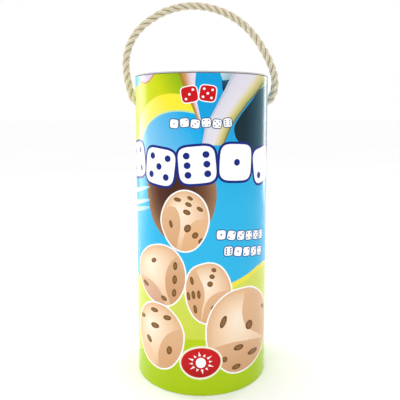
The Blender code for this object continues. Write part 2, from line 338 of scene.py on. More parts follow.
def grown(outline, by):
    """The same outline, moved outwards by a distance."""
    points = np.array(outline, float)
    along = np.roll(points, -1, axis=0) - np.roll(points, 1, axis=0)
    along /= np.linalg.norm(along, axis=1)[:, None]
    out = np.stack([along[:, 1], -along[:, 0]], axis=1)
    area = np.sum(points[:, 0] * np.roll(points[:, 1], -1) - np.roll(points[:, 0], -1) * points[:, 1])
    return points + out * by * (1 if area > 0 else -1)


def pip_pattern(number):
    """Where a face's pips go, from -1 to 1 each way."""
    places = [(0, 0)] if number % 2 else []
    if number > 1:
        places += [(-1, -1), (1, 1)]
    if number > 3:
        places += [(-1, 1), (1, -1)]
    if number == 6:
        places += [(-1, 0), (1, 0)]
    return places


def paint_face(across, up, half, number, tilt, line, edge_width, pip_size, face=WHITE):
    """One flat die face, with its outline and its pips in the same ink."""
    turn = math.radians(tilt)
    square = ellipse(across, up, half, half, tilt, 40, 4.2)
    paint(grown(square, edge_width), line)
    paint(square, face)
    for x, y in pip_pattern(number):
        x, y = x * half * 0.52, y * half * 0.52
        paint(ellipse(across + x * math.cos(turn) - y * math.sin(turn),
                      up + x * math.sin(turn) + y * math.cos(turn), pip_size, pip_size, 0, 14), line)


def paint_die(outline, cheeks, pips, move=0.0, lift=0.0, turn_over=1):
    """A pictured wooden die: a white edge, the ball lit from above, its flat cheeks and its pips."""
    place = lambda x, y: (turn_over * x + move, y + lift)
    body = np.array(soft_outline([place(*p) for p in outline]))
    low, high = np.min(body, axis=0), np.max(body, axis=0)
    paint(grown(body, 1.3), WHITE)
    focus = low + (high - low) * (0.5 - 0.12 * turn_over, 0.66)
    paint_round(body, focus, ((0.0, WOOD_LIT), (0.35, WOOD), (0.8, WOOD_SHADE), (1.0, WOOD_DEEP)))
    for tone, points in cheeks:
        cheek = np.array(soft_outline([place(*p) for p in points]))
        top, foot = cheek[:, 1].max(), cheek[:, 1].min()
        paler = [0.5 * t + 0.5 * w for t, w in zip(tone, WOOD_SHADE)]
        paint(cheek, tone, paler, (0, foot + 0.2 * (top - foot)), (0, top), within=body)
    for x, y, width, height, tilt in pips:
        middle = place(x, y)
        for share, steps, brown in ((1.0, 18, PIP_RIM), (0.66, 14, PIP_BROWN)):
            paint(ellipse(*middle, width * share, height * share, turn_over * tilt, steps), brown,
                  within=body)


def level(points):
    """An outline that follows these points and closes along the foot of the tube."""
    return [*points, (HALF_ROUND, 0.0), (-HALF_ROUND, 0.0)]


# sky, hills and out-of-focus bands behind everything
paint([(-HALF_ROUND, 0), (HALF_ROUND, 0), (HALF_ROUND, WRAP_HIGH), (-HALF_ROUND, WRAP_HIGH)],
      SKY, DEEP_SKY, (0, 165), (0, 275))
hill_top = [(-HALF_ROUND, 100), (-165, 106), (-130, 103), (-100, 96), (-75, 95), (-45, 96), (-17, 98),
            (0, 99), (27, 99), (45, 104), (60, 108.5), (74, 109.5), (90, 107), (115, 100), (145, 93),
            (175, 95), (HALF_ROUND, 100)]
paint(level(hill_top), YELLOW, PALE_YELLOW, (60, 0), (110, 0))
paint(level([(x, z - (4.5 if 20 < x < 120 else 0.6)) for x, z in hill_top]), SOFT_LIME, (204, 216, 74),
      (0, 100), (0, 50))
field = [(-HALF_ROUND, 42), (-150, 36), (-110, 24), (-82, 21), (-55, 34), (-34, 50), (-12, 50.5), (8, 50),
         (40, 40), (66, 25), (86, 23), (120, 30), (160, 40), (HALF_ROUND, 42)]
paint(level(field), LEAF, (186, 210, 30), (0, 20), (0, 52))

paint(soft_outline([(-150, 296), (-152, 262), (-132, 234), (-100, 214), (-72, 214), (-20, 246), (-9, 256),
                    (-14, 272), (-20, 296)]), (203, 214, 26), (124, 174, 18), (-36, 270), (-13, 284))
above = np.array([(-90, 204), (2, 204), (2, 280), (-90, 280)], float)
for oval, tone, other, start, end in (
        (ellipse(-27, 223, 47.5, 47.5, steps=72), (246, 234, 60), PALE_YELLOW, (-30, 262), (-72, 226)),
        (ellipse(-21, 204.4, 51.4, 51.4, steps=72), (196, 226, 160), PALE_YELLOW, (-16, 250), (-70, 214)),
        (ellipse(-20.6, 203.8, 50.4, 50.4, steps=72), (0, 170, 232), PALE_SKY, (-10, 246), (-70, 212))):
    paint(oval, tone, other, start, end, within=above)
paint(soft_outline([(-100, 293), (-68, 293), (-64, 284), (-80, 279), (-104, 283)]), (96, 196, 210))
paint(soft_outline([(-68, 294), (-43, 294), (-48, 285), (-57, 280.5), (-67, 283)]), TAN)
paint(soft_outline([(-68, 295), (-44, 295), (-49, 286.4), (-57, 282), (-67, 285)]), LILAC)
paint(soft_outline([(-5.5, 296), (17, 296), (19.5, 283), (18.5, 270), (13, 259), (8.6, 250), (4.8, 240),
                    (1.6, 230), (-0.8, 240), (-3, 251), (-5.8, 263), (-7.2, 277)]), (0, 160, 222))
paint_band([(-21.7, 292), (-17.5, 280.8), (-13.3, 270.7), (-9.0, 260.6), (-6.3, 253.9), (-3.5, 246.7),
            (-1.2, 240)],
           [(-4.7, 292), (-5.5, 280.6), (-5.6, 270.6), (-3.4, 260.6), (-2.0, 253.9), (-0.6, 246.7),
            (-0.9, 240)],
           ((0.0, (140, 160, 24)), (0.16, (178, 124, 52)), (0.42, (212, 158, 116)), (0.66, (226, 204, 212)),
            (1.0, (232, 226, 240))), 10)
DEEP_WATER = [(80, 284), (61, 275), (49, 264), (37, 252), (30, 241.5), (30, 234), (33, 228), (41, 222),
              (60, 210), (110, 200), (128, 236), (112, 278)]
paint(soft_outline(DEEP_WATER), (24, 100, 120), (0, 150, 212), (80, 240), (124, 240))
paint(soft_outline(DEEP_WATER), (12, 50, 60), (24, 100, 120), (42, 240), (80, 240),
      within=np.array([(20, 200), (80, 200), (80, 290), (20, 290)], float))
paint(soft_outline([(16.6, 293), (31, 293), (28.4, 285.6), (24.2, 281.5), (19.6, 281.1), (17.3, 285.3)]),
      (196, 222, 234), (132, 172, 178), (18, 290), (26, 282))
paint([(17.6, 282), (26.5, 283), (22.6, 276.4), (19.6, 270.4), (18.2, 274.1)], (8, 44, 66), (40, 92, 122),
      (19, 274), (22, 283))
paint(soft_outline([(60, 298), (112, 298), (108, 283), (80, 281), (63, 276), (55, 280)]), OLIVE,
      (110, 140, 110), (60, 276), (90, 292))
paint_band([(28.9, 292), (27.8, 290.1), (21.9, 277.5), (15.5, 264.5), (9.2, 252.2), (2.8, 239.4), (0.1, 224)],
           [(79, 292), (75, 285.3), (60.7, 274.8), (45.3, 262.6), (34.4, 250.6), (26.8, 240.4), (19.6, 224)],
           ((0.0, (190, 190, 212)), (0.12, (222, 219, 232)), (0.52, (230, 226, 234)), (0.68, (224, 212, 160)),
            (0.79, (206, 196, 124)), (0.92, (172, 172, 108)), (1.0, (62, 76, 54))))
paint_round(soft_outline([(-56, 186), (-55, 172), (-50, 157), (-42, 146), (-32, 139), (-12, 139), (3, 149),
                          (10.6, 163), (13.4, 181), (10, 197), (-2, 210), (-22, 214), (-44, 206)]),
            (-27, 192), ((0.0, BARK), (0.5, (84, 50, 38)), (0.78, (120, 82, 58)), (1.0, LIGHT_BARK)))
for low, tone in ((151, (206, 224, 168)), (158, PALE_YELLOW), (170, (214, 232, 206))):
    paint(soft_outline([(-112, low + 2), (-84, low + 5), (-56, low + 12), (-57, low + 14.5), (-84, low + 9.5),
                        (-112, low + 7)]), tone, PALE_SKY, (-84, 0), (-54, 0))

# belt of white dice faces right round the tube
BELT_FACES = 11
for k in range(BELT_FACES):
    across = -4.0 + 2 * HALF_ROUND / BELT_FACES * (k - BELT_FACES // 2)
    tilt = (-7, 5, -3, 8)[k % 4]
    up = 205.5 + (2.6, -1.6, 1.0)[k % 3]
    for reach in (0, 2 * HALF_ROUND, -2 * HALF_ROUND):
        if abs(across + reach) < HALF_ROUND + 22:
            paint_face(across + reach, up, 16.6, k % 6 + 1, tilt, NAVY, 2.3, 3.1)

# row of small faces above it, and two red dice as a crest
for k in range(6):
    paint_face(-24.4 + 9.5 * k, 243.6 + (0.6 if k % 2 else -0.4), 3.9, k + 1, (-6, 4)[k % 2],
               (58, 84, 120), 0.8, 0.62)
for across, tilt, number in ((-10.4, 10, 3), (5.4, -8, 5)):
    paint_face(across, 270 - 0.05 * tilt, 7.0, number, tilt, WHITE, 0.9, 1.15, face=RED)

# two rows of small faces in the clear sky on the right
for first, up, drop, count in ((17.6, 143.6, 1.25, 6), (24.6, 128.4, 1.5, 5)):
    for k in range(count):
        paint_face(first + 9.9 * k, up - drop * k, 4.1, (k + count) % 6 + 1, (4, -7, 1)[k % 3] - 6,
                   (40, 92, 150), 0.9, 0.8)

# pictured wooden dice: outline, cheeks (tone, outline), pips (middle, half sizes, tilt)
TOP_DIE = (
    [(-15.5, 183), (-27, 178), (-35, 167), (-38, 154), (-33, 141), (-26, 132.5), (-16, 129), (-6, 132),
     (2, 142), (6, 156), (3.5, 170), (-4, 179.5)],
    [(CHEEK, [(-25.3, 168.5), (-20, 161.5), (-18.9, 150.4), (-21.3, 139), (-24.9, 127), (-39, 131),
              (-42, 152), (-37, 165)]),
     ((228, 176, 128), [(12, 157), (-0.5, 157.9), (-7.6, 155.1), (-13.2, 148.2), (-16.6, 138.2), (-17.6, 126),
                        (-8, 121), (12, 130)])],
    [(-21.5, 175, 3.4, 1.9, -10), (-10, 176.6, 2.8, 1.6, -30), (-11.5, 171, 3.1, 1.9, -22),
     (-1.4, 167, 3.1, 1.8, -34), (-13, 164, 3.5, 2.3, -22), (-28, 152.6, 1.7, 3.5, 14),
     (-12.4, 149.6, 3.0, 3.7, -30), (-5.6, 143.6, 2.6, 3.1, -40),
     (-0.2, 138.4, 2.3, 3.0, -40)],
)
LEFT_DIE = (
    [(-38, 132), (-25, 128.5), (-17, 118), (-14.6, 105), (-17.5, 92), (-26, 81), (-37, 77.6), (-51, 80),
     (-64, 87), (-73, 97), (-75, 108), (-68, 118), (-54, 128)],
    [(CHEEK_SHADE, [(-20.9, 124.3), (-29.4, 116.6), (-34.2, 104.6), (-33.6, 92.1), (-29.7, 82.6), (-25.9, 74),
                    (-11, 82), (-10, 109), (-15, 123)]),
     ((206, 160, 132), [(-80, 96), (-58.6, 98), (-47.1, 95.1), (-39.3, 88.8), (-35.8, 80.3), (-34, 70),
                        (-53, 68), (-80, 76)])],
    [(-24, 115, 2.1, 3.7, -3), (-24.6, 102.6, 2.3, 4.1, -6), (-25.2, 90.6, 2.2, 3.6, -10),
     (-36, 84, 3.4, 2.0, -24), (-61, 92.5, 5.0, 2.1, -12), (-48, 116.6, 3.6, 2.1, 24)],
)
MIDDLE_DIE = (
    [(6, 118.4), (16, 115.4), (23, 107), (27, 96), (27, 85), (23, 74.5), (14.5, 67), (4, 65), (-5.4, 70),
     (-11.4, 80), (-14, 92), (-12.8, 104), (-7, 114)],
    [(CHEEK, [(-7.6, 116), (-2.7, 107.5), (1.8, 97.4), (2.6, 87.3), (0.6, 78.4), (-2.7, 64), (-18, 70),
              (-20, 92), (-15, 112)]),
     (CHEEK, [(31, 91), (19.9, 92.8), (10.7, 90.4), (4.5, 84), (1.8, 75.1), (1.4, 60), (14, 56), (36, 70)])],
    [(11, 112.4, 2.3, 1.9, -30), (9.4, 106.6, 2.5, 2.1, -20), (7.6, 100, 2.6, 2.5, -20),
     (-8.6, 103, 1.6, 3.8, 12), (-11.6, 89, 1.5, 3.8, 8), (-7.2, 90.4, 1.7, 3.8, 8),
     (-2.4, 90.8, 1.6, 3.8, 4), (-5.6, 77.6, 1.6, 3.9, 10), (11, 78, 2.7, 2.9, -40)],
)
FRONT_DIE = (
    [(-46, 77.5), (-33, 76), (-23, 68), (-17.2, 57), (-17, 45), (-21, 33), (-30, 22.6), (-43, 19),
     (-57, 22), (-68, 30), (-75, 44), (-73, 58), (-65, 69), (-56, 75)],
    [((216, 166, 122), [(-15, 60), (-27.3, 55.2), (-36.1, 47.7), (-42.2, 36.3), (-43.1, 24.5), (-38, 12),
                        (-20, 14), (-11, 36), (-11, 56)]),
     (WOOD_SHADE, [(-82, 36), (-60, 36.3), (-49.8, 30.5), (-46.5, 18.8), (-48, 9), (-70, 2), (-84, 16)])],
    [(-48, 70.6, 5.0, 2.1, 4), (-32.6, 66.8, 4.3, 2.3, 4), (-47.4, 56.4, 5.6, 2.6, 6),
     (-67, 60, 4.6, 2.0, 14), (-56, 41.6, 4.3, 2.7, -28), (-30.6, 37.6, 2.8, 3.9, -18)],
)
BIG_DIE = (
    [(37, 92), (25, 90), (14.5, 82.5), (8, 72.5), (4.8, 60), (5.4, 46), (9, 35.4), (16, 26.4), (26, 19),
     (38, 17), (52, 19), (66, 24), (78, 33), (85, 48), (83, 64), (74, 76), (62, 85.4), (50, 91)],
    [((220, 174, 132), [(47.4, 94), (41.2, 80.3), (39.8, 69.2), (44.6, 56.4), (60.1, 46), (90, 32), (92, 66),
                        (80, 90)]),
     (CHEEK_SHADE, [(10, 41.5), (27.6, 45), (41.6, 43.6), (60, 40), (90, 28), (90, 6), (48.7, 4), (20, 12),
                    (7, 31)])],
    [(20, 65, 2.7, 5.8, -24), (48.8, 56.6, 4.9, 4.3, -10), (75, 66, 4.6, 2.0, -30), (36, 39, 5.6, 2.6, 0),
     (54.6, 30, 7.6, 2.5, -2), (33.6, 22, 4.9, 2.4, 4), (21.4, 31, 2.6, 2.6, -30)],
)
for die in (TOP_DIE, LEFT_DIE, MIDDLE_DIE, BIG_DIE, FRONT_DIE):
    paint_die(*die)
paint_die(*LEFT_DIE, move=-188, lift=-2, turn_over=-1)
paint_die(*FRONT_DIE, move=-90, lift=6)
paint_die(*MIDDLE_DIE, move=-118, lift=34, turn_over=-1)

# red badge with a sun, at the foot of the front
BADGE_ACROSS, BADGE_UP, BADGE_TILT = -0.6, 29.6, 5.0
RAY_NEAR, RAY_HALF, RAY_STRETCH = 6.0, 0.95, 1.25
paint(ellipse(BADGE_ACROSS, BADGE_UP, 20.0, 15.0, BADGE_TILT, 56), CREAM)
paint(ellipse(BADGE_ACROSS, BADGE_UP, 18.2, 13.2, BADGE_TILT, 56), RED, (176, 10, 30), (0, 34), (0, 16))
paint(ellipse(BADGE_ACROSS, BADGE_UP, 4.6, 4.6, 0, 28), WHITE)
for k in range(12):
    a = math.radians(30 * k + 8)
    c, s = math.cos(a), math.sin(a)
    ray_far = 10.2 if k % 2 else 8.6
    paint([(BADGE_ACROSS + RAY_STRETCH * (out * c - half * s), BADGE_UP + out * s + half * c)
           for out, half in ((RAY_NEAR, -RAY_HALF), (ray_far, 0.0), (RAY_NEAR, RAY_HALF))], WHITE)

# panel at the back with rows of faces, the throws that score
PANEL = (138.0, 112.0)
for by, ink in ((1.6, DEEP_SKY), (0.0, (250, 250, 246))):
    paint(grown(ellipse(*PANEL, 37, 52, 0, 64, 7.0), by), ink)
THROWS = ((1, 1, 1, 4, 6), (2, 2, 2, 2, 5), (3, 3, 5, 5, 5), (1, 2, 3, 4, 5), (2, 3, 4, 5, 6),
          (6, 6, 6, 6, 6))
for row, throw in enumerate(THROWS):
    up = PANEL[1] + 38 - 15.2 * row
    for k, number in enumerate(throw):
        paint_face(PANEL[0] - 24 + 12 * k, up, 4.6, number, 0, PIP_BROWN, 0.5, 0.8,
                   face=(247, 222, 184))


VEIL = 0.008                  # what the gloss adds to every ink
PRINT_LIFT = 4.6              # the printed film creeps up the tube by this much at mid-height


def lifted(points):
    """Points of the print, moved up by the film's creep."""
    part = np.clip(np.array(points, float)[..., 1:] / WRAP_HIGH, 0, 1)
    return np.array(points, float) + (0.0, 1.0) * (4 * PRINT_LIFT * part * (1 - part))


art = [(lifted(outline), colour, other, lifted(start), lifted(end),
        None if within is None else lifted(within))
       for outline, colour, other, start, end, within in art]


def linear(colour):
    """The ink's own colour, with the little that its gloss adds taken off."""
    return [max(0.0, (c / 255) ** 2.2 - VEIL) for c in colour]


def inside(outline, spots):
    """Which of the spots lie inside the outline."""
    x, y = spots[:, 0], spots[:, 1]
    found = np.zeros(len(spots), bool)
    near = (x >= outline[:, 0].min()) & (x <= outline[:, 0].max())
    near &= (y >= outline[:, 1].min()) & (y <= outline[:, 1].max())
    x, y = x[near], y[near]
    odd = np.zeros(len(x), bool)
    for (x1, y1), (x2, y2) in zip(outline, np.roll(outline, -1, axis=0)):
        if y1 != y2:
            odd ^= ((y1 > y) != (y2 > y)) & (x < (x2 - x1) * (y - y1) / (y2 - y1) + x1)
    found[near] = odd
    return found


def colours_at(layer, spots):
    """The ink of one layer at these spots, part way between its two colours."""
    _, colour, other, start, end, _ = layer
    if other is None:
        rim, off = end - start, spots - start
        round_rim, round_off = np.arctan2(rim[:, 1], rim[:, 0]), np.arctan2(off[:, 1], off[:, 0])
        edge = np.interp(round_off, round_rim, np.linalg.norm(rim, axis=1), period=2 * math.pi)
        part = np.linalg.norm(off, axis=1) / edge
        tones = np.array([linear(tone) for _, tone in colour])
        return np.stack([np.interp(part, [far for far, _ in colour], tones[:, k]) for k in range(3)], axis=1)
    way = np.array(end, float) - np.array(start, float)
    part = np.clip((spots - np.array(start, float)) @ way / (way @ way), 0, 1)[:, None]
    return (1 - part) * linear(colour) + part * np.array(linear(other))


def paper_sheet(name, points, faces, colours, thick, back, printed, bare):
    """A sheet with its ink as a colour for each face corner. Its edges take the bare finish, and so does
    its back where back is 1."""
    mesh = bpy.data.meshes.new(name)
    mesh.from_pydata(points.tolist(), [], faces.tolist())
    mesh.color_attributes.new("ink", "FLOAT_COLOR", "CORNER").data.foreach_set("color", colours.reshape(-1))
    piece = placed(name, mesh)
    paper = piece.modifiers.new("paper", "SOLIDIFY")
    paper.thickness, paper.offset = thick, -1.0
    paper.material_offset, paper.material_offset_rim = back, 1
    baked(piece)
    piece.data.materials.clear()
    piece.data.materials.append(printed)
    piece.data.materials.append(bare)
    return piece


def cut_print(layers, box, lines=(), holes=()):
    """Cuts a flat sheet along every outline in its print, and gives each small face its ink.
    Returns the points, the faces, and a colour for each corner of each face."""
    (left, low), (right, high) = box
    corners, edges = [], []

    def outline_in(points):
        first = len(corners)
        corners.extend(Vector(p) for p in points)
        edges.extend((first + i, first + (i + 1) % len(points)) for i in range(len(points)))

    outline_in([(left, low), (right, low), (right, high), (left, high)])
    for outline, *_ in layers:
        outline_in(np.clip(outline, (left, low), (right, high)))
    for middle, radius in holes:
        outline_in(ellipse(*middle, radius, radius, 0, 48))
    for start, end in lines:
        edges.append((len(corners), len(corners) + 1))
        corners.extend((Vector(start), Vector(end)))
    points, _, faces, *_ = delaunay_2d_cdt(corners, edges, [], 0, 1e-4)
    flat, faces = np.array([tuple(p) for p in points]), np.array([tuple(f) for f in faces if len(f) == 3])
    middles, across = flat[faces].mean(axis=1), flat[faces]
    area = np.abs(np.cross(across[:, 1] - across[:, 0], across[:, 2] - across[:, 0])) / 2
    keep = area > 1e-5
    for middle, radius in holes:
        keep &= np.linalg.norm(middles - np.array(middle), axis=1) > radius * 0.998
    faces, middles = faces[keep], middles[keep]
    top_layer = np.zeros(len(faces), int)
    for number, (outline, *_, within) in enumerate(layers):
        mine = inside(outline, middles)
        top_layer[mine if within is None else mine & inside(within, middles)] = number
    colours = np.ones((len(faces), 3, 4))
    for number, layer in enumerate(layers):
        mine = top_layer == number
        if mine.any():
            spots = flat[faces[mine]].reshape(-1, 2)
            colours[mine, :, :3] = colours_at(layer, spots).reshape(-1, 3, 3)
    return flat, faces, colours


columns, rows = round(2 * math.pi / COLUMN), 24
upright = [(2 * i / columns - 1) * HALF_ROUND for i in range(columns + 1)]
upright += [HALF_ROUND - LAP, HALF_ROUND - LAP + 0.2]
cuts = [((x, WRAP_LOW), (x, WRAP_HIGH)) for x in upright]
cuts += [((-HALF_ROUND, z), (HALF_ROUND, z)) for z in np.linspace(WRAP_LOW, WRAP_HIGH, rows + 1)]
holes = [((side * EYELET_BEARING * WRAP_RADIUS, eyelet_height), HOLE * 1000) for side in (-1, 1)]
flat, faces, corner_colours = cut_print(art, ((-HALF_ROUND, WRAP_LOW), (HALF_ROUND, WRAP_HIGH)), cuts, holes)

bearing = flat[:, 0] / WRAP_RADIUS
proud = np.where(flat[:, 0] > HALF_ROUND - LAP + 0.1, LAP_RISE, 0.0)
radius = (WRAP_RADIUS + proud) / 1000
places = np.stack([radius * np.sin(bearing), -radius * np.cos(bearing), flat[:, 1] / 1000], axis=1)

gloss_print, tree, shader = finish("gloss_print", 0.22, Specular_IOR_Level=0.22)
inks = tree.nodes.new("ShaderNodeVertexColor")
inks.layer_name = "ink"
press = speckle(tree, 0.0006, detail=4)
cloudy = speckle(tree, 0.03, detail=2)
mottle = tree.nodes.new("ShaderNodeMapRange")
mottle.inputs["To Min"].default_value, mottle.inputs["To Max"].default_value = 0.965, 1.035
tree.links.new(press, mottle.inputs["Value"])
printed = multiplied(tree, inks.outputs["Color"], mottle.outputs["Result"])
tree.links.new(printed, shader.inputs["Base Color"])
gloss_range(tree, shader, cloudy, 0.17, 0.27)
relief(tree, shader, speckle(tree, 0.011, stretch=(1, 1, 1.6), detail=2), 0.00005)

bare_paper, tree, shader = finish("bare_paper", 0.85)
colour_by(tree, shader, speckle(tree, 0.0005, detail=5), (0.3, (0.70, 0.68, 0.63)), (0.7, (0.86, 0.85, 0.81)))
WRAP_WALL = 0.0004
wrap = edged(paper_sheet("printed_label", places, faces, corner_colours, WRAP_WALL, 1, gloss_print,
                         bare_paper), 35)
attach(wrap, "tube")
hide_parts("printed_wrap")

# ---------------------------------------------------------------- inner liner
# White paper wound in with the board, half a millimetre thick, so the inside of the tube is white.
liner_outer = outer_radius("inner_liner")
liner_low, liner_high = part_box("inner_liner")[0][2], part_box("inner_liner")[1][2]
LINER_WALL = 0.0005
liner_bore = liner_outer - LINER_WALL
liner_paper, tree, shader = finish("liner_paper", 0.8)
pulp = speckle(tree, 0.0009, stretch=(1, 1, 2), detail=6)
colour_by(tree, shader, pulp, (0.3, (0.72, 0.71, 0.67)), (0.7, (0.84, 0.83, 0.80)))
spiral = tree.nodes.new("ShaderNodeTexCoord")
apart = tree.nodes.new("ShaderNodeSeparateXYZ")
tree.links.new(spiral.outputs["Object"], apart.inputs["Vector"])


def calculate(tree, operation, *values, clamp=False):
    """One maths step. Each value is a number or a socket."""
    node = tree.nodes.new("ShaderNodeMath")
    node.operation, node.use_clamp = operation, clamp
    for place, value in enumerate(values):
        if isinstance(value, (int, float)):
            node.inputs[place].default_value = value
        else:
            tree.links.new(value, node.inputs[place])
    return node.outputs[0]


PLY_WIDTH = 0.090             # the paper strip's own width, measured up the tube
round_tube = calculate(tree, "ARCTAN2", apart.outputs["Y"], apart.outputs["X"])
climb = calculate(tree, "MULTIPLY_ADD", round_tube, 1 / (2 * math.pi),
                  calculate(tree, "DIVIDE", apart.outputs["Z"], PLY_WIDTH))
seam = calculate(tree, "PINGPONG", climb, 0.5)
groove = calculate(tree, "SMOOTH_MIN", calculate(tree, "MULTIPLY", seam, 60.0), 1.0, 0.4)
relief(tree, shader, pulp, 0.00008, relief(tree, shader, groove, 0.0002))
liner = turned("liner", rounded([(liner_outer, liner_high), (liner_outer, liner_low), (liner_bore, liner_low),
                                 (liner_bore, liner_high)], 0.0001, 2))
punch_eyelet_holes(liner, HOLE)
dress(liner, "inner_liner", "tube", liner_paper)

# ---------------------------------------------------------------- base
# A die-cut greyboard disc, lined with white paper on its inner side, on a board ring glued into the
# foot of the tube.
plug_radius = outer_radius("base_disc")
disc_low, disc_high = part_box("base_disc")[0][2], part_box("base_disc")[1][2]
RING_WALL = 0.002
ring_profile = [(plug_radius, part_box("base_ring")[1][2]), (plug_radius, 0.0), (plug_radius - RING_WALL, 0.0),
                (plug_radius - RING_WALL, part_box("base_ring")[1][2])]
base_ring = turned("board_ring", rounded(ring_profile, 0.0003, 3))
dress(base_ring, "base_ring", "tube", greyboard)
disc_profile = [(0.0, disc_high), (plug_radius, disc_high), (plug_radius, disc_low), (0.0, disc_low)]
disc_rings = rounded(disc_profile[:3], 0.0003, 3)
base_disc = turned("base_board", [(0.0, disc_high)] + [(r, disc_high) for r in (0.02, 0.04)]
                   + disc_rings[1:] + [(0.04, disc_low), (0.02, disc_low), (0.0, disc_low)])
dress(base_disc, "base_disc", "tube", greyboard)
base_disc.data.materials.append(liner_paper)
for face in base_disc.data.polygons:
    if face.center.z > disc_high - 0.0003:
        face.material_index = 1

# ---------------------------------------------------------------- lid
# Moulded in grey polyethylene: a lip that sits on the tube's top edge, and a shallow cup that plugs
# into the bore, with two sealing beads, a fine step and the mould's gate mark on its floor.
lid_radius = outer_radius("lid_plug")
lid_low, lid_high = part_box("lid_plug")[0][2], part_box("lid_plug")[1][2]
LID_WALL = 0.0012
BEAD = 0.00018
lid_floor, lid_cup = lid_low + LID_WALL, plug_radius - LID_WALL
lip_low = lid_high - LID_WALL
GATE, RIDGE, STEP = 0.0003, 0.0005, 0.0007      # heights over the floor: gate mark, ring and outer step
lid_profile = [
    (0.0, lid_floor + GATE), (0.0016, lid_floor + GATE), (0.0019, lid_floor), (0.017, lid_floor),
    (0.0174, lid_floor + RIDGE), (0.0186, lid_floor + RIDGE), (0.019, lid_floor),
    (0.044, lid_floor), (0.0444, lid_floor + STEP), (lid_cup - 0.0022, lid_floor + STEP),
    (lid_cup - 0.0006, lid_floor + 0.0013), (lid_cup, lid_floor + 0.0030), (lid_cup, lid_high - 0.0006),
    (lid_cup + 0.0006, lid_high), (lid_radius, lid_high), (lid_radius, lip_low), (plug_radius, lip_low),
]
for bead in (lip_low - 0.0030, lip_low - 0.0065):
    lid_profile += [(plug_radius, bead), (plug_radius + BEAD, bead - 0.0005), (plug_radius, bead - 0.0010)]
lid_profile += [(plug_radius, lid_low + 0.0012), (plug_radius - 0.0010, lid_low), (0.0, lid_low)]
lid_plastic, tree, shader = finish("lid_plastic", 0.42, Subsurface_Weight=0.05)
colour_by(tree, shader, speckle(tree, 0.02, detail=5), (0.3, (0.44, 0.455, 0.48)), (0.7, (0.52, 0.53, 0.555)))
gloss_range(tree, shader, speckle(tree, 0.012, detail=6), 0.34, 0.5)
relief(tree, shader, speckle(tree, 0.0004, detail=3), 0.00003)
lid = turned("moulded_lid", rounded(lid_profile, 0.0004, 3), crease=40)
dress(lid, "lid_plug", "lid", lid_plastic)

# ---------------------------------------------------------------- eyelets
# Rolled nickel-plated brass eyelets, one at each side. The flange is rolled over outside the print,
# and the barrel is curled over a washer inside the liner.
EYELET_BORE = 0.0065
EYELET_WALL = 0.0006
FLANGE = 0.0100
CURL = 0.0082
WASHER = 0.0095
METAL = 0.0005
FIT = 0.0003                  # left between the metal and the wall
eyelet_metal, tree, shader = finish("eyelet_metal", 0.24, Metallic=1.0)
worn = speckle(tree, 0.004, detail=4)
colour_by(tree, shader, worn, (0.3, (0.60, 0.58, 0.54)), (0.7, (0.74, 0.73, 0.70)))
gloss_range(tree, shader, speckle(tree, 0.0015, stretch=(1, 1, 4), detail=4), 0.18, 0.34)


def turned_at(name, profile, way, sides=72):
    """Turns (radius, distance) pairs round a line that runs out from the tube's axis to an eyelet."""
    piece = turned(name, profile, sides)
    turn = way.to_track_quat("Z", "Y").to_matrix().to_4x4()
    piece.data.transform(Matrix.Translation(Vector((0, 0, eyelet_height / 1000))) @ turn)
    return piece


flange_in = outer_radius("printed_wrap") + FIT
washer_out = math.sqrt(liner_bore ** 2 - WASHER ** 2) - FIT
curl_out = washer_out - METAL - FIT
barrel = EYELET_BORE + EYELET_WALL
eyelet_profile = [
    (EYELET_BORE, curl_out - METAL * 0.4), (EYELET_BORE, flange_in + METAL * 0.2),
    (EYELET_BORE + 0.0002, flange_in + METAL * 1.3), (EYELET_BORE + 0.0010, flange_in + METAL * 2.3),
    (EYELET_BORE + 0.0021, flange_in + METAL * 2.2), (FLANGE - 0.0004, flange_in + METAL * 1.0),
    (FLANGE, flange_in + METAL * 0.4), (FLANGE - 0.0002, flange_in), (barrel + 0.0005, flange_in),
    (barrel, flange_in - 0.0004), (barrel, curl_out + 0.0001), (CURL - 0.0003, curl_out),
    (CURL, curl_out - METAL * 0.5), (CURL - 0.0004, curl_out - METAL * 1.2), (barrel, curl_out - METAL * 1.5),
    (EYELET_BORE + 0.0002, curl_out - METAL),
]
washer_bore = barrel + 0.0002
washer_profile = [(WASHER, washer_out - METAL), (WASHER, washer_out), (washer_bore, washer_out),
                  (washer_bore, washer_out - METAL)]
for side, name in ((-1, "left"), (1, "right")):
    eyelet = turned_at("rolled_eyelet_" + name, rounded(eyelet_profile, 0.0003, 3), eyelet_way(side))
    dress(eyelet, "eyelet_" + name, "tube", eyelet_metal)
    washer = turned_at("washer_" + name, rounded(washer_profile, 0.00018, 3), eyelet_way(side))
    dress(washer, "eyelet_washer_" + name, "tube", eyelet_metal)

